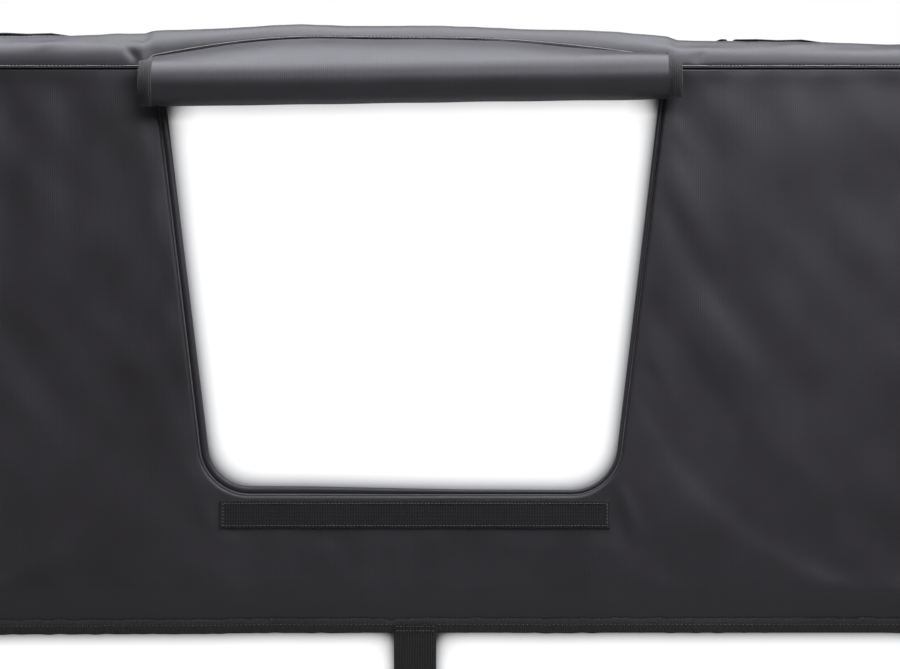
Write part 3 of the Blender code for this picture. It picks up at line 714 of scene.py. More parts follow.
def top_section(x, depth=0.0):
    """The top panel's section at x, as rows of y and z."""
    share = float(rise(np.float64(x)))
    section = flat_profile(float(sink(x)) + depth) * (1 - share) + lifted_profile(depth) * share
    section[:, 1] = stretched(section[:, 1], x)
    return section


def crest(x):
    """Height of the top panel's flat crest at x, behind the ridge."""
    return float(stretched(FULL - sink(x), x))


# Pieces


def inside(points, polygon):
    """Which points lie inside a closed outline."""
    x, z = points[:, 0], points[:, 1]
    result = np.zeros(len(points), bool)
    for (ax, az), (bx, bz) in zip(polygon, np.roll(polygon, -1, axis=0)):
        crosses = (az > z) != (bz > z)
        with np.errstate(divide="ignore", invalid="ignore"):
            result ^= crosses & (x < (bx - ax) * (z - az) / (bz - az) + ax)
    return result


def to_line(points, line):
    """Distance from each point to a line of points."""
    best = np.full(len(points), np.inf)
    for a, b in zip(line, line[1:]):
        run = b - a
        share = np.clip(((points - a) @ run) / max(float(run @ run), 1e-12), 0.0, 1.0)
        best = np.minimum(best, np.linalg.norm(points - a - share[:, None] * run, axis=1))
    return best


def divided(outline, step):
    """A closed outline whose long sides have points a step apart. It keeps its corners."""
    ring = []
    for a, b in zip(outline, np.roll(outline, -1, axis=0)):
        count = max(1, round(math.dist(a, b) / step))
        ring += [a + (b - a) * k / count for k in range(count)]
    return np.array(ring)


def outward(ring):
    """Unit directions out of a closed outline at its points."""
    run = unit(np.roll(ring, -1, axis=0) - np.roll(ring, 1, axis=0))
    area = np.sum(ring[:, 0] * np.roll(ring[:, 1], -1) - ring[:, 1] * np.roll(ring[:, 0], -1))
    return np.stack([run[:, 1], -run[:, 0]], axis=1) * np.sign(area)


EDGE_ROWS = (0.0004, 0.0012, 0.0024, 0.0040)


def panel_mesh(outline, cell, rows=EDGE_ROWS):
    """Even triangles inside an outline, with close rows along it: flat points, triangles, rim length."""
    ring = divided(outline, cell)
    out = outward(ring)
    low, high = ring.min(axis=0), ring.max(axis=0)
    lines = np.arange(low[1], high[1], cell * math.sqrt(0.75))
    x, z = np.meshgrid(np.arange(low[0], high[0], cell), lines)
    x = x + np.where(np.arange(len(lines)) % 2, cell / 2, 0.0)[:, None]
    filling = np.stack([x.ravel(), z.ravel()], axis=1)
    filling = filling[inside(filling, ring)]
    closed = np.vstack([ring, ring[:1]])
    filling = filling[to_line(filling, closed) > max((0.0, *rows)) + 0.55 * cell]
    flat = np.vstack([ring] + [ring - out * row for row in rows] + [filling])
    rim = len(ring)
    border = [(k, (k + 1) % rim) for k in range(rim)]
    _, _, triangles, sources, _, _ = delaunay_2d_cdt([Vector(p) for p in flat], border, [], 1, 1e-7)
    order = [group[0] for group in sources]
    return flat, [[order[k] for k in triangle] for triangle in triangles], rim


SETTLE_FRAMES = 20
SETTLE_GROWTH = -0.004
SETTLE_CAP = 0.0011
SETTLE_HOLD = 0.04
BLEND = 0.008


def settle(points, faces, held, out):
    """How far a cover moves when it is cut a little too large, sewn down where it is held, and hangs.

    The foam holds it lightly everywhere. The result is a distance along out, at most SETTLE_CAP."""
    scene = bpy.context.scene
    mesh = bpy.data.meshes.new("settling")
    mesh.from_pydata(points.tolist(), [], faces)
    piece = placed("settling", mesh)
    group = piece.vertex_groups.new(name="sewn")
    for index, weight in enumerate(held):
        group.add([index], max(float(weight), SETTLE_HOLD), "REPLACE")
    cloth = piece.modifiers.new("cloth", "CLOTH")
    cloth.settings.vertex_group_mass = "sewn"
    cloth.settings.shrink_min = SETTLE_GROWTH
    cloth.settings.quality = 6
    cloth.settings.mass = 0.4
    cloth.settings.bending_stiffness = 4.0
    cloth.settings.effector_weights.gravity = 0.3
    cloth.collision_settings.use_collision = False
    for number in range(1, SETTLE_FRAMES + 1):
        scene.frame_set(number)
    graph = bpy.context.evaluated_depsgraph_get()
    moved = vertices(piece.evaluated_get(graph).data) - points
    bpy.data.objects.remove(piece)
    bpy.data.meshes.remove(mesh)
    scene.frame_set(1)
    distance = np.einsum("ij,ij->i", moved, out)
    distance -= distance.mean()
    return SETTLE_CAP * np.tanh(distance / SETTLE_CAP)


def borrowed(points, known, values):
    """Values at points, blended from the nearest known points."""
    tree = KDTree(len(known))
    for index, point in enumerate(known):
        tree.insert(point, index)
    tree.balance()
    result = np.empty(len(points))
    for index, point in enumerate(points):
        near = tree.find_n(point, 9)
        weights = np.array([math.exp(-((distance / BLEND) ** 2)) + 1e-9 for _, _, distance in near])
        result[index] = np.dot(weights, [values[k] for _, k, _ in near]) / weights.sum()
    return result


FOLDS = (
    # from x, z to x, z, half width, depth: soft creases that the photograph shows
    (0.170, -0.384, 0.186, -0.436, 0.0045, -0.0034),
    (0.182, -0.380, 0.206, -0.446, 0.0080, 0.0036),
    (0.196, -0.360, 0.330, -0.470, 0.0220, 0.0016),
    (0.240, -0.120, 0.420, -0.330, 0.0300, 0.0012),
    (0.300, -0.300, 0.430, -0.500, 0.0260, 0.0014),
    (0.160, -0.400, 0.320, -0.505, 0.0240, -0.0012),
    (-0.230, -0.360, -0.330, -0.470, 0.0260, 0.0010),
    (-0.345, -0.050, -0.300, -0.260, 0.0280, 0.0010),
    (-0.195, -0.405, -0.160, -0.440, 0.0070, 0.0012),
)


ROLLED_EDGE = 0.0034
SEAM_GROOVE = 0.0036
SEAM_GROOVE_WIDTH = 0.0015
SEAM_BULGE = 0.0012
SEAM_BULGE_WIDTH = 0.012
WALL_SLOPE = 0.0016


def hanging_pad(name, facing, hem_z, outline, opening_distance, ripple, cell, nodes):
    """A padded panel: cover and lining sewn together all round, over foam."""

    def fullness(flat):
        x, z = flat[:, 0], flat[:, 1]
        seam = np.clip((PANEL_TOP_Z - z) / 0.012, 0.0, 1.0)
        edge = np.clip(opening_distance(flat) / 0.014, 0.0, 1.0)
        past_x = np.maximum(TAPE_LOW[0] - x, x - TAPE_HIGH[0])
        past_z = np.maximum(TAPE_LOW[2] - z, z - TAPE_HIGH[2])
        tape = np.clip(np.maximum(past_x, past_z) / 0.016, 0.0, 1.0) if facing < 0 else 1.0
        return shoulder(HALF_WIDTH - np.abs(x)) * shoulder(z - hem_z) * seam * edge * tape

    coarse, coarse_faces, _ = panel_mesh(outline, 2 * cell, ())
    thick = INNER_Y + FULL - sink(coarse[:, 0], coarse[:, 1], hem_z)
    sheet = np.stack([coarse[:, 0], facing * thick, coarse[:, 1]], axis=1)
    held = (fullness(coarse) < 0.25).astype(float)
    settled = settle(sheet, coarse_faces, held, np.array([[0.0, facing, 0.0]]).repeat(len(sheet), axis=0))

    flat, triangles, rim = panel_mesh(outline, cell)
    x, z = flat[:, 0], flat[:, 1]
    full = fullness(flat)
    swell = (smooth_noise(x, z, 11, 0.16) + 0.5 * smooth_noise(x, z, 12, 0.06)) * ripple
    swell += borrowed(np.column_stack([flat, 0 * x]), np.column_stack([coarse, 0 * coarse[:, 0]]), settled)
    out = INNER_Y + FULL - sink(x, z, hem_z) + (swell + creased(x, z, FOLDS) * (facing < 0)) * full
    away = np.clip(opening_distance(flat) / ROLLED_EDGE, 0.0, 1.0)
    out -= ROLLED_EDGE * (1 - np.sqrt(1 - (1 - away) ** 2))
    below = PANEL_TOP_Z - z
    out += SEAM_BULGE * np.exp(-((below / SEAM_BULGE_WIDTH) ** 2)) * shoulder(HALF_WIDTH - np.abs(x))
    out -= SEAM_GROOVE * np.exp(-((below / SEAM_GROOVE_WIDTH) ** 2))
    outer = np.stack([x, facing * out, z], axis=1)
    back = INNER_Y + 0.0002 + 0.0003 * (1 + smooth_noise(x, z, 13, 0.05)) * full
    inner = np.stack([x, facing * back, z], axis=1)
    slope = outward(flat[:rim]) * (WALL_SLOPE * (opening_distance(flat[:rim]) < 1e-6))[:, None]
    inner[:rim, ::2] += slope
    inner[:rim, 2] = np.minimum(inner[:rim, 2], PANEL_TOP_Z)
    count = len(flat)
    ring = np.arange(rim)
    steps = 4
    walls, faces = [], list(triangles) + [[k + count for k in reversed(t)] for t in triangles]
    marks = [0] * len(triangles) + [1] * len(triangles)
    rows = [ring]
    for k in range(1, steps):
        share = k / steps
        rows.append(np.arange(rim) + 2 * count + (k - 1) * rim)
        walls.append(outer[:rim] * (1 - share) + inner[:rim] * share)
    rows.append(ring + count)
    for a, b in zip(rows, rows[1:]):
        quads = np.stack([a, np.roll(a, -1), np.roll(b, -1), b], axis=1)
        faces += quads.tolist()
        marks += [0] * rim
    points = np.concatenate([outer, inner] + walls)
    spots = np.stack([points[:, 0], points[:, 2]], axis=1)
    corners = np.array([k for face in faces for k in face])
    made = new_piece(name, points, faces, spots[corners], ["coated_cover", "lining"], marks)
    return dress(made, "coated_cover", *nodes)


def panel_box(hem_z):
    return [(-HALF_WIDTH, PANEL_TOP_Z), (-HALF_WIDTH, hem_z), (HALF_WIDTH, hem_z), (HALF_WIDTH, PANEL_TOP_Z)]


def make_front(sizes):
    opening = opening_outline(PANEL_TOP_Z)
    outline = np.array(panel_box(HEM_Z) + [tuple(p) for p in opening[::-1]])
    nodes = ["front_cover", "front_lining", "opening_facing"]
    nodes += ["front_foam_left", "front_foam_right", "front_foam_lower"]
    hanging_pad(
        "front_pad", -1, HEM_Z, outline, lambda flat: to_line(flat, opening), sizes.ripple, sizes.cell, nodes
    )


def make_rear(sizes):
    outline = np.array(panel_box(REAR_HEM_Z))
    nodes = ["rear_cover", "rear_foam", "rear_lining"]
    cell = 1.6 * sizes.cell
    hanging_pad(
        "rear_pad", 1, REAR_HEM_Z, outline, lambda flat: np.ones(len(flat)), sizes.ripple, cell, nodes
    )


def settle_top(grid):
    """How far the top panel's cover moves at each point of a grid, from a cloth half as fine."""
    some = grid[::2, ::2]
    rows, columns = some.shape[:2]
    index = np.arange(rows * columns).reshape(rows, columns)
    out = unit(np.cross(np.array([1.0, 0.0, 0.0]), np.gradient(some, axis=1)))
    held = np.zeros((rows, columns))
    held[:, :3] = held[:, -3:] = held[:3] = held[-3:] = 1.0
    points = some.reshape(-1, 3)
    moved = settle(points, grid_quads(index).tolist(), held.ravel(), out.reshape(-1, 3))
    return borrowed(grid.reshape(-1, 3), points, moved).reshape(grid.shape[:2])


def lining_path(depth):
    """The section over the tailgate's top, from the front to the rear, as rows of y and z."""
    centre = INNER_Y - LINING_CORNER
    radius = LINING_CORNER + depth
    front = arc((-centre, -LINING_CORNER), radius, math.pi, math.pi / 2, 8)
    rear = arc((centre, -LINING_CORNER), radius, math.pi / 2, 0.0, 8)
    return np.array(front + rear)


LIP = 0.0011
SEAM_STITCH = 0.0018
SEAM_DIP = 0.0004
SEAM_DIP_SIZE = 0.0006
SEAM_ROWS = np.array([0.0, 0.0008, 0.0013, SEAM_STITCH, 0.0024, 0.0036])
LIP_FLARE = 0.0011
LIP_GAP_X = -0.044
LIP_GAP_HALF = 0.125
LOFT = 0.0042
PUFFS = ((-0.258, 0.050, 0.0022), (-0.110, 0.045, 0.0012), (0.010, 0.070, 0.0014), (0.185, 0.060, 0.0028))
PUFF_DEPTH = 0.0090
TOP_CREASES = (
    # from x, length up the section to x, length; half width, depth: puckers at the flap's corners
    (-0.249, 0.005, -0.262, 0.022, 0.0034, -0.0026),
    (-0.244, 0.012, -0.252, 0.030, 0.0045, 0.0014),
    (-0.345, 0.020, -0.316, 0.027, 0.0050, 0.0012),
    (0.248, 0.004, 0.264, 0.016, 0.0040, -0.0012),
    (0.318, 0.022, 0.372, 0.029, 0.0050, 0.0012),
)


def close_stations(low, high, step, near, fine, reach):
    """Stations a step apart, and finer within reach of the places in near."""
    stations = [low]
    while stations[-1] < high:
        close = min(abs(stations[-1] - place) for place in near) < reach
        stations.append(stations[-1] + (fine if close else step))
    return np.array(stations[:-1] + [high])


def with_seams(outline):
    """The outline with close points along both of its sewn edges."""
    along = running(outline)
    wanted = np.sort(np.concatenate([SEAM_ROWS, along[1:-1], along[-1] - SEAM_ROWS]))
    return np.stack([np.interp(wanted, along, outline[:, k]) for k in range(2)], axis=1)


def make_top(sizes):
    """The top panel: cover over foam, its two lower edges folded to lips that lap the other panels."""
    xs = close_stations(-HALF_WIDTH, HALF_WIDTH, sizes.cell, (FLAP_LEFT, FLAP_RIGHT), 0.0016, 0.024)
    outlines = [with_seams(top_section(x)) for x in xs]
    plain = np.array([at_x(x, line) for x, line in zip(xs, outlines)])
    sections = []
    seat = lining_path(0.0002)
    settled = settle_top(plain)
    for x, outer, drift in zip(xs, plain[:, :, 1:], settled):
        ease = shoulder(HALF_WIDTH - abs(x))
        along = running(outer)
        belly = np.sin(math.pi * along / along[-1])
        here = np.full(len(outer), x)
        wave = smooth_noise(here, along, 21, 0.11) * sizes.ripple * 0.8
        wave += smooth_noise(here, along, 22, 0.035) * sizes.ripple * 0.35
        normal = turned_left(unit(np.gradient(outer, axis=0)))
        puff = LOFT * (1 - float(rise(x))) * ease
        puff += sum(height * math.exp(-(((x - place) / size) ** 2)) for place, size, height in PUFFS)
        puff *= np.exp(-(((outer[:, 0] - RIDGE_Y) / PUFF_DEPTH) ** 2))
        push = (wave + drift) * belly * ease + puff + creased(here, along, TOP_CREASES)
        dip = sum(
            np.exp(-(((edge - SEAM_STITCH) / SEAM_DIP_SIZE) ** 2)) for edge in (along, along[-1] - along)
        )
        push -= SEAM_DIP * dip
        outer = outer + normal * push[:, None]
        free = float(abs(x - FLAP_X) > (FLAP_RIGHT - FLAP_LEFT) / 2)
        free += min(1.0, max(0.0, (LIP_GAP_HALF - abs(x - LIP_GAP_X)) / 0.02))
        outer[0] += normal[0] * LIP_FLARE * free
        outer[-1] += normal[-1] * LIP_FLARE
        lip_front = outer[0] - normal[0] * LIP
        lip_rear = outer[-1] - normal[-1] * LIP
        tuck_front = outer[1] - normal[1] * LIP
        tuck_rear = outer[-2] - normal[-2] * LIP
        inner = [lip_rear, tuck_rear, (INNER_Y + 0.002, PANEL_TOP_Z + 0.0006)]
        inner += list(seat[::-1]) + [(-INNER_Y - 0.002, PANEL_TOP_Z + 0.0006), tuck_front, lip_front]
        section = np.concatenate([outer, inner])
        sections.append(at_x(x, section))
    count = len(outer)
    face_keys = [0] * (count + 2) + [1] * (len(section) - count - 4) + [0] * 2
    made = sweep("top_pad", sections, ["coated_cover", "lining"], face_keys, turned=True)
    dress(made, "coated_cover", "top_cover", "top_foam", "top_lining")
    rows = []
    for end in (0, -1):
        line, ups = [], []
        for section in sections[2:-2]:
            spot = 3 if end == 0 else count - 4
            up = section[spot + 1] - section[spot - 1]
            out = np.cross((1.0, 0.0, 0.0), up / np.linalg.norm(up))
            line.append(section[spot] + out * 0.0004)
            ups.append(out)
        rows.append((np.array(line), np.array(ups)))
    stitches("top_seam_stitches", rows, sizes.stitch, 1.3 * sizes.thread, kind="thread")


# Along the opening's edge, from its top left to its top right
WELT_SHARES = (0.0, 0.30, 0.42, 0.54, 0.66, 1.0)
WELT_RADII = (0.0031, 0.0036, 0.0034, 0.0022, 0.0019, 0.0020)
CRACK_SHARES = (0.0, 0.35, 0.5, 1.0)
CRACK_WIDTHS = (0.0013, 0.0013, 0.0008, 0.0003)


def make_opening_piping():
    """A fabric-covered cord round the opening, fuller down its left side, as the photograph shows."""
    route = resampled(opening_outline(PANEL_TOP_Z - 0.001, 0.0), 0.003)
    inward = turned_left(unit(np.gradient(route, axis=0)))
    share = np.linspace(0.0, 1.0, len(route))
    radius = np.interp(share, WELT_SHARES, WELT_RADII)
    crack = np.interp(share, CRACK_SHARES, CRACK_WIDTHS)
    centre = route + inward * (radius + crack)[:, None]
    turns = np.linspace(0.0, 2 * math.pi, 13)[:-1]
    sections = []
    for (x, z), across, r in zip(centre, inward, radius):
        wide, deep = r * np.cos(turns), r * np.sin(turns)
        y = -FACE_Y + 0.0036 + deep
        sections.append(np.stack([x + across[0] * wide, y, z + across[1] * wide], axis=1))
    dress(sweep("opening_welt", sections, ["coated_cover"]), "piping", "opening_piping")


def make_loop_tape(sizes):
    """The loop tape under the opening, sewn down round its edge."""
    low, high = np.array(TAPE_LOW), np.array(TAPE_HIGH)
    xs = resampled(np.array([[low[0], 0.0], [high[0], 0.0]]), 0.004)[:, 0]
    z = (low[2] + high[2]) / 2
    line = np.stack([xs, -FACE_Y - 0.0006 - 0.0003 * smooth_noise(xs, 0 * xs, 31, 0.05), 0 * xs + z], axis=1)
    width = high[2] - low[2]
    ribbon("loop_tape", line, UP, width, 0.0016, "hook_and_loop", "flap_loop_tape", turned=True)
    inset, out = 0.0028, np.array([0.0, -1.0, 0.0])
    surface = -FACE_Y - 0.0014
    corners = [
        (low[0] + inset, surface, low[2] + inset),
        (high[0] - inset, surface, low[2] + inset),
        (high[0] - inset, surface, high[2] - inset),
        (low[0] + inset, surface, high[2] - inset),
        (low[0] + inset, surface, low[2] + inset),
    ]
    line = resampled(np.array(corners), 0.002)
    stitches("loop_tape_stitches", [(line, np.broadcast_to(out, line.shape))], 0.0031, sizes.thread)


def roll_line(x, depth, per_turn=30):
    """The flap's section at x, from its seam to its free edge, at a depth below its outer face.

    The bindings pull the roll's two ends a little tighter than its middle."""
    centre = np.array((-FACE_Y - ROLL_CLEARANCE - ROLL_RADIUS, ROLL_Z + ROLL_TILT * (x - FLAP_X)))
    squeeze = SQUEEZE_LEFT * math.exp((FLAP_LEFT - x) / SQUEEZE_REACH)
    squeeze += SQUEEZE_RIGHT * math.exp((x - FLAP_RIGHT) / SQUEEZE_REACH)
    edge, behind = top_section(x)[:2]
    start = edge + (edge - behind) / math.dist(edge, behind) * 2 * GAP
    away = start - centre
    touch = math.atan2(away[1], away[0]) + math.acos((ROLL_RADIUS - squeeze) / math.hypot(*away))
    joined = touch + LEAD_BLEND
    turns = np.linspace(JOIN, ROLL_TURNS, round((ROLL_TURNS - JOIN) * per_turn) + 1)
    spiral = ROLL_START + 2 * math.pi * turns
    angles = np.concatenate([np.linspace(joined, spiral[0], 9)[:-1], spiral])
    radius = ROLL_RADIUS - squeeze - ROLL_PITCH * (angles - ROLL_START) / (2 * math.pi)
    wound = centre + (radius - depth)[:, None] * np.stack([np.cos(angles), np.sin(angles)], axis=1)
    # The lead from the seam is an arc that runs into the roll where it joins it
    out = np.array([math.cos(joined), math.sin(joined)])
    join = centre + radius[0] * out
    size = -((start - join) @ (start - join)) / (2 * (start - join) @ out)
    middle = join - out * size
    first = math.atan2(*(start - middle)[::-1])
    lead = arc(middle, size - depth, first, joined, LEAD_STEPS)[:-1]
    return np.concatenate([lead, wound])


def make_flap():
    """The rolled flap with bound side edges and its hook tape."""
    limit = (FLAP_RIGHT - FLAP_LEFT) / 2 - FLAP_TRIM - GAP - FLAP_BINDING
    xs = FLAP_X + limit * np.sin(np.linspace(-math.pi / 2, math.pi / 2, 91))
    outer, inner, place = [], [], []
    for x in xs:
        over = roll_line(x, 0.0)
        along = running(over)
        drift = smooth_noise(np.full(len(over), x), along, 41, 0.12) * 0.0003
        push = turned_left(unit(np.gradient(over, axis=0))) * drift[:, None]
        outer.append(at_x(x, over + push))
        inner.append(at_x(x, roll_line(x, FLAP) + push))
        place.append(at_x(x, along))
    made = lattice("flap_roll", outer, inner, ["coated_cover"], np.array(place))
    dress(made, "coated_cover", "flap_panel")
    for side_name, side in SIDES:
        end = (FLAP_LEFT if side < 0 else FLAP_RIGHT) - side * FLAP_TRIM
        wall = -side * FLAP_BINDING_WIDTH
        thick, far = FLAP_BINDING, FLAP + GAP
        corner = -side * 0.0006
        outline = [(wall, -GAP - thick), (wall / 2, -GAP - thick), (corner, -GAP - thick), (0.0, -GAP)]
        outline += [(0.0, far), (corner, far + thick), (wall / 2, far + thick), (wall, far + thick)]
        outline += [(wall, far), (-side * thick, far), (-side * thick, -GAP), (wall, -GAP)]
        lines = []
        for offset, depth in outline:
            lines.append(at_x(end + offset, roll_line(end + offset, depth)))
        tape = sweep("flap_binding_tape_" + side_name, np.swapaxes(np.array(lines), 0, 1), ["binding"])
        dress(tape, "binding", "flap_binding_" + side_name)
    low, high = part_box("flap_hook_tape")
    xs = np.linspace(low[0], high[0], 40)
    steps = round(HOOK_TURN * 30) + 1
    near = [at_x(x, roll_line(x, FLAP + GAP)[-steps:]) for x in xs]
    far = [at_x(x, roll_line(x, FLAP + GAP + HOOK_TAPE)[-steps:]) for x in xs]
    place = np.array([at_x(x, running(line[:, 1:])) for x, line in zip(xs, near)])
    tape = lattice("hook_tape", near, far, ["hook_and_loop"], place)
    dress(tape, "hook_and_loop", "flap_hook_tape")


def channel(near, far, out, across, wobble=0.0, lift=0.0):
    """The section of a tape folded round an edge whose faces are at near and far."""
    thick, wide = BINDING, BINDING_WIDTH + wobble
    fold = GAP + thick
    outline = (
        (near, 0.0, wide),
        (near, 0.0, wide / 2),
        (near, 0.0, -0.2 * fold),
        (near, 0.3 * thick, -fold),
        (far, GAP + 0.7 * thick, -fold),
        (far, GAP + thick, -0.2 * fold),
        (far, GAP + thick + lift, wide / 2),
        (far, GAP + thick + 0.2 * lift, wide),
        (far, GAP, wide),
        (far, GAP, -GAP),
        (near, thick, -GAP),
        (near, thick, wide),
    )
    return [np.asarray(base) + np.asarray(out) * n + np.asarray(across) * w for base, n, w in outline]


HEM_SAG = 0.0018
TAPE_SEAM = 0.0062


def make_hem(name, facing, hem_z, sizes):
    """The tape folded round a hem, puckered by its stitches."""
    limit = HALF_WIDTH - BINDING_WIDTH - GAP
    xs = resampled(np.array([[-limit, 0.0], [limit, 0.0]]), 0.0016)[:, 0]
    wobble = 0.0005 * smooth_noise(xs, 0 * xs, 51, 0.03) + 0.0003 * smooth_noise(xs, 0 * xs, 52, 0.009)
    lift = 0.0002 + 0.0003 * np.abs(np.sin(math.pi * xs / sizes.hem_stitch))
    lift += 0.0002 * smooth_noise(xs, 0 * xs, 53, 0.02)
    drop = 0.0005 * smooth_noise(xs, 0 * xs, 54, 0.12) + 0.0003 * smooth_noise(xs, 0 * xs, 55, 0.02)
    drop -= HEM_SAG * np.clip(-xs / 0.35, 0.0, 1.0) * (facing < 0)
    for strap_x in ANCHOR_X.values():
        wobble -= 0.0030 * np.exp(-(((xs - strap_x + WEB_WIDTH / 2 + 0.003) / 0.005) ** 2))
    sections = []
    for x, w, up, d in zip(xs, wobble, lift, drop):
        near = (x, facing * INNER_Y, hem_z + min(0.0, d))
        far = (x, facing * (INNER_Y + EDGE), hem_z + min(0.0, d))
        sections.append(channel(near, far, (0.0, facing, 0.0), (0.0, 0.0, 1.0), w, up))
    dress(sweep(name + "_hem_tape", sections, ["binding"], turned=True), "binding", name + "_hem_binding")
    ys = facing * (INNER_Y + EDGE + GAP + BINDING + lift)
    line = np.column_stack([xs, ys, hem_z + TAPE_SEAM + np.minimum(0.0, drop)])
    ups = np.broadcast_to(np.array([0.0, facing, 0.0]), line.shape)
    stitches(name + "_hem_stitches", [(line, ups)], sizes.hem_stitch, 0.75 * sizes.thread, 0.6)


def make_end_tape(name, side, sizes):
    """Binding up the front's end, over the top and down the rear's end."""
    lap = LAP_Y - FACE_Y
    halves = []
    for facing, hem_z in ((-1, HEM_Z), (1, REAR_HEM_Z)):
        end_z = PANEL_TOP_Z - 0.008
        heights = np.append(np.arange(hem_z - GAP - BINDING, end_z, 0.006), end_z)
        half = [((facing * INNER_Y, z), (facing * (INNER_Y + EDGE), z), 0.0, facing) for z in heights]
        half.append(((facing * INNER_Y, SEAM_Z), (facing * (INNER_Y + EDGE + lap), SEAM_Z), 0.0, facing))
        for angle in np.linspace(0.0, math.pi / 2, 9):
            along, up = facing * math.cos(angle), math.sin(angle)
            near_y = facing * (INNER_Y - LINING_CORNER) + along * LINING_CORNER
            far_radius = TOP_CORNER - SINK
            near = (near_y, -LINING_CORNER + up * LINING_CORNER)
            far = (facing * ARC_Y + along * far_radius, ARC_Z + up * far_radius)
            half.append((near, far, angle, facing))
        halves.append(half)
    stations = halves[0] + halves[1][::-1]
    sections, line, ups = [], [], []
    x = side * HALF_WIDTH
    for near, far, angle, facing in stations:
        out = np.array((0.0, facing * math.cos(angle), math.sin(angle)))
        sections.append(channel((x, *near), (x, *far), out, (-side, 0.0, 0.0), 0.0, 0.0003))
        line.append(np.array((x - side * TAPE_SEAM, *far)) + out * (GAP + BINDING + 0.0003))
        ups.append(out)
    tape = sweep("end_tape_" + name, sections, ["binding"])
    dress(tape, "binding", "end_binding_" + name)
    row = (np.array(line), np.array(ups))
    stitches(f"end_tape_{name}_stitches", [row], sizes.hem_stitch, 0.75 * sizes.thread, 0.6)


def make_anchor(name, sizes):
    """A webbing strap from the front hem, under the tailgate, through its buckle on the rear hem."""
    x = ANCHOR_X[name]
    front_y = -(INNER_Y + EDGE + GAP + BINDING + GAP + WEB / 2)
    plate_y = (BUCKLE_LOW[1] + BUCKLE_HIGH[1]) / 2
    half = (BUCKLE_HIGH[1] - BUCKLE_LOW[1]) / 2
    tail_y = plate_y - half - BEND
    load_y = tail_y - WEB - GAP
    over_y = plate_y + half + BEND
    tab_top = BUCKLE_HIGH[2]
    bar_top = tab_top - BUCKLE_BAR - BUCKLE_SLOT
    bar_bottom = bar_top - BUCKLE_BAR
    rail_top = bar_bottom - BUCKLE_SLOT
    bottom_z = ANCHOR_LOW_Z + WEB / 2
    strap_top = HEM_Z + 0.0064
    tail_z = rail_top - BUCKLE_BAR - ANCHOR_TAIL
    corners = [
        ((front_y, strap_top), 0),
        ((front_y, bottom_z), ANCHOR_BEND),
        ((load_y, bottom_z), ANCHOR_BEND),
        ((load_y, bar_top + BEND), BEND),
        ((over_y, bar_top + BEND), BEND),
        ((over_y, bar_bottom - BEND), BEND / 2),
        ((tail_y, rail_top + 2 * BEND), BEND / 2),
        ((tail_y, tail_z), 0),
    ]
    path = resampled(np.array(rounded(corners), float), 0.0016)
    webbing("webbing_strap_" + name, at_x(x, path), RIGHT, "anchor_strap_" + name)

    inner_y = INNER_Y + EDGE + GAP + BINDING + BEND
    outer_y = inner_y + WEB + GAP
    back_y, wrap_y = plate_y - half - BEND, plate_y + half + BEND
    low = tab_top - BUCKLE_BAR - BEND
    neck, splay = REAR_HEM_Z - 0.004, tab_top + 0.004
    corners = [
        ((inner_y, REAR_HEM_Z + TAB_OVERLAP), 0),
        ((inner_y, neck), BEND),
        ((back_y, splay), BEND),
        ((back_y, low), BEND),
        ((wrap_y, low), BEND),
        ((wrap_y, splay), BEND),
        ((outer_y, neck), BEND),
        ((outer_y, REAR_HEM_Z + TAB_OVERLAP), 0),
    ]
    path = resampled(np.array(rounded(corners), float), 0.0012)
    webbing("webbing_tab_" + name, at_x(x, path), RIGHT, "buckle_tab_" + name)
    moulded("buckle_" + name, "anchor_buckle_" + name, 0.0009)

    rows = []
    for facing, y, heights in (
        (-1, front_y - WEB / 2 - 0.0001, (strap_top - 0.0018, strap_top - 0.0059)),
        (1, outer_y + WEB / 2 + 0.0001, (REAR_HEM_Z + 0.0075, REAR_HEM_Z + 0.0030)),
    ):
        for z in heights:
            line = np.array([(x - STRAP_SEAM, y, z), (x + STRAP_SEAM, y, z)])
            rows.append((line, np.broadcast_to(np.array([0.0, facing, 0.0]), line.shape)))
    stitches(f"strap_{name}_stitches", rows, STRAP_STITCH, sizes.thread)


def moulded(name, node, bevel):
    """A moulded piece in the shape of its CAD node, with rounded edges."""
    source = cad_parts[node]
    shape = bmesh.new()
    shape.from_mesh(source.data)
    bmesh.ops.remove_doubles(shape, verts=shape.verts, dist=1e-6)
    flat = math.radians(1)
    bmesh.ops.dissolve_limit(shape, angle_limit=flat, verts=shape.verts, edges=shape.edges)
    sharp = [edge for edge in shape.edges if edge.calc_face_angle(0) > math.radians(30)]
    bmesh.ops.bevel(shape, geom=sharp, offset=bevel, segments=3, profile=0.5, affect="EDGES")
    mesh = bpy.data.meshes.new(name)
    shape.to_mesh(mesh)
    shape.free()
    mesh.materials.clear()
    mesh.materials.append(material("nylon"))
    mesh.shade_smooth()
    mesh.set_sharp_from_angle(angle=math.radians(50))
    return dress(placed(name, mesh), "nylon", node)


def over_top(centre, corners):
    """A path over the top panel through points given as an offset along X and a height above it."""
    path = resampled(np.array(rounded([(corner, BEND) for corner in corners]), float), 0.0012)
    return np.array([(centre + u, STRAP_Y, crest(centre + u) + h) for u, h in path])


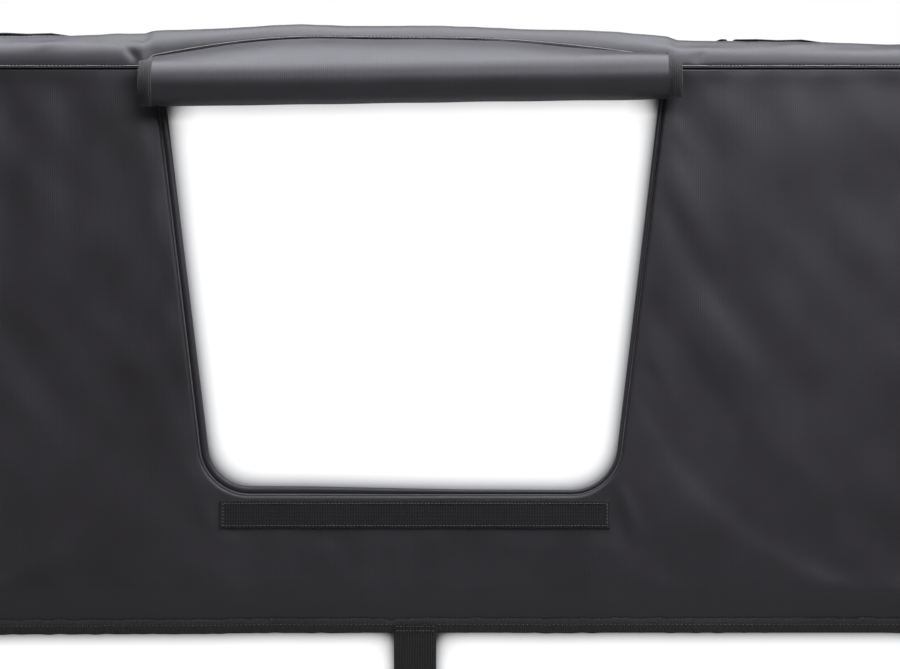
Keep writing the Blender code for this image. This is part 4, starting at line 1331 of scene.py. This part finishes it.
def make_bike_strap(number, sizes):
    """A strap sewn to the top panel that doubles back through a ring, and the ring's tab."""
    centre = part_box(f"strap_ring_{number}")[0][0] + RING_OFFSET
    on_top = GAP + WEB / 2
    ring_h = GAP + WEB + GAP + RING_BAR / 2
    turn = RING_BAR / 2 + BEND
    over = ring_h + turn
    doubled = on_top + WEB + GAP
    right_bar = RING_LENGTH - RING_BAR / 2 - RING_OFFSET
    left_bar = RING_BAR / 2 - RING_OFFSET
    strap = over_top(
        centre,
        [
            (STRAP_REACH, on_top),
            (0.0340, on_top),
            (0.0120, on_top + STRAP_LIFT),
            (right_bar + 0.018, on_top + STRAP_LIFT),
            (right_bar + 0.006, on_top),
            (right_bar - turn, on_top),
            (right_bar - turn, over),
            (right_bar + turn, over),
            (right_bar + 0.018, doubled + 2 * STRAP_LIFT),
            (-0.012, doubled + 1.6 * STRAP_LIFT),
            (0.010, doubled + 2 * STRAP_LIFT),
            (0.0310, doubled + 0.5 * STRAP_LIFT),
        ],
    )
    webbing(f"tube_strap_{number}", strap, INWARD, f"bike_strap_{number}")
    tab = over_top(
        centre,
        [
            (-STRAP_REACH, on_top),
            (left_bar + turn, on_top),
            (left_bar + turn, over),
            (left_bar - turn, over),
            (left_bar - 0.011, doubled),
            (-STRAP_REACH, doubled),
        ],
    )
    webbing(f"tube_strap_tab_{number}", tab, INWARD, f"ring_tab_{number}")
    moulded(f"tube_strap_ring_{number}", f"strap_ring_{number}", 0.0010)
    rows = []
    for u in (0.0815, 0.0700, -0.0815):
        height = crest(centre + u) + (WEB + GAP if u > 0 else 2 * (WEB + GAP)) + 0.0001
        line = np.array([(centre + u, STRAP_Y + side * STRAP_SEAM, height) for _, side in SIDES])
        rows.append((line, np.broadcast_to(np.array(UP), line.shape)))
    stitches(f"tube_strap_{number}_stitches", rows, STRAP_STITCH, sizes.thread)


# Stage


def plain_mesh(name, points, faces):
    mesh = bpy.data.meshes.new(name)
    mesh.from_pydata(points, [], faces)
    made = placed(name, mesh)
    return made


WHITE = (1.0, 1.0, 1.0, 1.0)
WORLD_LIGHT = 0.05
FLOOR_DROP = 0.25
FLOOR_SIZE = 6.0
FLOOR_BOUNCE = 0.3
FLOOR_GLOW = 0.60
CARD_SEEN = 0.3
# CARD_SHADOW, CARD_DARK and CARD_WHITE set a painted shadow on the card: ambient occlusion within that
# distance darkens its white
CARD_SHADOW = 0.031
CARD_DARK, CARD_WHITE = 0.44, 0.93


def seen_white(tree, shader, colours, unseen_share, seen_share, white):
    """Shows the camera a white of its own, while all other rays meet only the surface's base.

    The two shares say how much of the stage's colour the base has for other rays and for the camera's.
    white is a number, or the socket that gives it."""
    seen = add(tree, "LightPath").outputs["Is Camera Ray"]
    unseen_base, seen_base = [
        (*[share * c for c in colours.stage], 1.0) for share in (unseen_share, seen_share)
    ]
    tone = add(tree, "Mix", {"Factor": seen, 6: unseen_base, 7: seen_base}, data_type="RGBA")
    tree.links.new(tone.outputs[2], shader.inputs["Base Color"])
    glow = add(tree, "Math", {0: seen, 1: white}, operation="MULTIPLY").outputs[0]
    tree.links.new(glow, shader.inputs["Emission Strength"])
    shader.inputs["Emission Color"].default_value = WHITE


def make_floor(colours):
    """A pale floor that sends little light back up at the pad."""
    z = CAD_BOX[0][2] - FLOOR_DROP
    size = FLOOR_SIZE
    corners = [(-size, -size, z), (size, -size, z), (size, size, z), (-size, size, z)]
    floor = plain_mesh("floor", corners, [(0, 1, 2, 3)])
    made, tree, shader = finish("studio_floor_matte", colours.stage, 0.9)
    seen_white(tree, shader, colours, FLOOR_BOUNCE, 1.0, FLOOR_GLOW)
    floor.data.materials.append(made)


def make_card(colours):
    """A white card where the tailgate's outer face would be.

    It shows from its front only, and light passes through it to the lining. Its white is darkened near the
    pad by ambient occlusion, as a painted shadow."""
    y = -INNER_Y + 0.0020
    low, high = ANCHOR_LOW_Z + 0.005, PANEL_TOP_Z - 0.002
    half = HALF_WIDTH - 0.002
    corners = [(-half, y, low), (half, y, low), (half, y, high), (-half, y, high)]
    card = plain_mesh("backdrop_card", corners, [(0, 1, 2, 3)])
    made, tree, shader = finish("backdrop_card_matte", colours.stage, 0.9)
    # Painted shadow: the card's glow is darkened by ambient occlusion near the pad, from CARD_DARK to
    # CARD_WHITE
    near = add(tree, "AmbientOcclusion", {"Distance": CARD_SHADOW}, samples=24).outputs["AO"]
    painted_shadow_glow = add(tree, "MapRange", {"Value": near, "From Min": CARD_DARK, "From Max": CARD_WHITE})
    seen_white(tree, shader, colours, 1.0, CARD_SEEN, painted_shadow_glow.outputs["Result"])
    behind = add(tree, "NewGeometry").outputs["Backfacing"]
    shadow = add(tree, "LightPath").outputs["Is Shadow Ray"]
    open_way = add(tree, "Math", {0: behind, 1: shadow}, operation="MAXIMUM").outputs[0]
    clear = add(tree, "BsdfTransparent").outputs["BSDF"]
    both = add(tree, "MixShader", {0: open_way, 1: shader.outputs["BSDF"], 2: clear})
    tree.links.new(both.outputs["Shader"], tree.nodes["Material Output"].inputs["Surface"])
    card.data.materials.append(made)


def area_light(name, place, aim, width, height, watts):
    light = bpy.data.lights.new(name, "AREA")
    light.shape = "RECTANGLE"
    light.size, light.size_y = width, height
    light.energy = watts
    light.color = linear("#F3F6FF")
    made = placed(name, light)
    made.location = place
    made.rotation_euler = (Vector(aim) - Vector(place)).to_track_quat("-Z", "Y").to_euler()


def make_world():
    world = bpy.data.worlds.new("studio")
    world.use_nodes = True
    tree = world.node_tree
    tree.nodes.clear()
    seen = add(tree, "LightPath").outputs["Is Camera Ray"]
    white = add(tree, "Background", {"Color": WHITE, "Strength": 1.0}).outputs[0]
    soft = add(tree, "Background", {"Color": WHITE, "Strength": WORLD_LIGHT}).outputs[0]
    both = add(tree, "MixShader", {0: seen, 1: soft, 2: white})
    out = add(tree, "OutputWorld")
    tree.links.new(both.outputs["Shader"], out.inputs["Surface"])
    bpy.context.scene.world = world


def make_stage(colours):
    make_floor(colours)
    make_card(colours)
    make_world()
    area_light("rear_softbox", (0.0, 0.45, 1.45), (0.0, 0.0, 0.0), 3.0, 0.9, 40)
    area_light("overhead_softbox", (0.12, -0.36, 1.20), (0.12, -0.1, 0.0), 3.0, 1.1, 51)
    area_light("back_fill", (-0.50, 1.70, 0.30), (0.0, 0.0, -0.25), 1.6, 1.0, 22)
    area_light("front_fill", (0.60, -0.85, 0.50), (0.1, 0.0, -0.15), 1.8, 0.4, 14)
    camera = bpy.data.cameras.new("camera")
    camera.sensor_width = SENSOR
    camera.lens = SENSOR * VIEW_DISTANCE / VIEW_WIDTH
    camera.clip_end = 50.0
    made = placed("camera", camera)
    made.location = (VIEW_X, -FACE_Y - VIEW_DISTANCE, VIEW_Z)
    made.rotation_euler = (math.radians(90), 0.0, 0.0)
    bpy.context.scene.camera = made
    bpy.context.scene.view_settings.view_transform = "Standard"


# Operators


class PAD_OT_panels(bpy.types.Operator):
    """Sew the padded front, top and rear panels"""

    bl_idname = "pad.panels"
    bl_label = "Padded Panels"

    def execute(self, context):
        sizes = context.scene.pad_sizes
        make_front(sizes)
        make_rear(sizes)
        make_top(sizes)
        return {"FINISHED"}


class PAD_OT_flap(bpy.types.Operator):
    """Roll the flap up over the handle opening, and trim the opening"""

    bl_idname = "pad.flap"
    bl_label = "Flap and Opening"

    def execute(self, context):
        sizes = context.scene.pad_sizes
        make_flap()
        make_opening_piping()
        make_loop_tape(sizes)
        return {"FINISHED"}


class PAD_OT_bindings(bpy.types.Operator):
    """Bind the hems and the ends"""

    bl_idname = "pad.bindings"
    bl_label = "Bindings"

    def execute(self, context):
        sizes = context.scene.pad_sizes
        make_hem("front", -1, HEM_Z, sizes)
        make_hem("rear", 1, REAR_HEM_Z, sizes)
        for name, side in SIDES:
            make_end_tape(name, side, sizes)
        return {"FINISHED"}


class PAD_OT_webbing(bpy.types.Operator):
    """Sew on the straps with their buckles and rings"""

    bl_idname = "pad.webbing"
    bl_label = "Webbing"

    def execute(self, context):
        sizes = context.scene.pad_sizes
        for name in ANCHOR_X:
            make_anchor(name, sizes)
        for number in range(1, BIKES + 1):
            make_bike_strap(number, sizes)
        return {"FINISHED"}


class PAD_OT_stage(bpy.types.Operator):
    """Set up the floor, the card, the lights and the camera"""

    bl_idname = "pad.stage"
    bl_label = "Stage"

    def execute(self, context):
        make_stage(context.scene.pad_colours)
        return {"FINISHED"}


class PAD_PT_sidebar(bpy.types.Panel):
    """The sizes and colours, and a button for each group of pieces"""

    bl_idname = "PAD_PT_sidebar"
    bl_label = "Bike Pad"
    bl_space_type = "VIEW_3D"
    bl_region_type = "UI"
    bl_category = "Bike Pad"

    def draw(self, context):
        for group in (context.scene.pad_sizes, context.scene.pad_colours):
            box = self.layout.box()
            for key in group.__annotations__:
                box.prop(group, key)
        for operator in OPERATORS:
            self.layout.operator(operator.bl_idname)


OPERATORS = (PAD_OT_panels, PAD_OT_flap, PAD_OT_bindings, PAD_OT_webbing, PAD_OT_stage)
CLASSES = (PadSizes, PadColours, *OPERATORS, PAD_PT_sidebar)


def register():
    for cls in CLASSES:
        bpy.utils.register_class(cls)
    bpy.types.Scene.pad_sizes = bpy.props.PointerProperty(type=PadSizes)
    bpy.types.Scene.pad_colours = bpy.props.PointerProperty(type=PadColours)


def unregister():
    del bpy.types.Scene.pad_colours
    del bpy.types.Scene.pad_sizes
    for cls in reversed(CLASSES):
        bpy.utils.unregister_class(cls)


def main():
    register()
    bpy.ops.pad.panels()
    bpy.ops.pad.flap()
    bpy.ops.pad.bindings()
    bpy.ops.pad.webbing()
    bpy.ops.pad.stage()


if __name__ == "__main__":
    main()
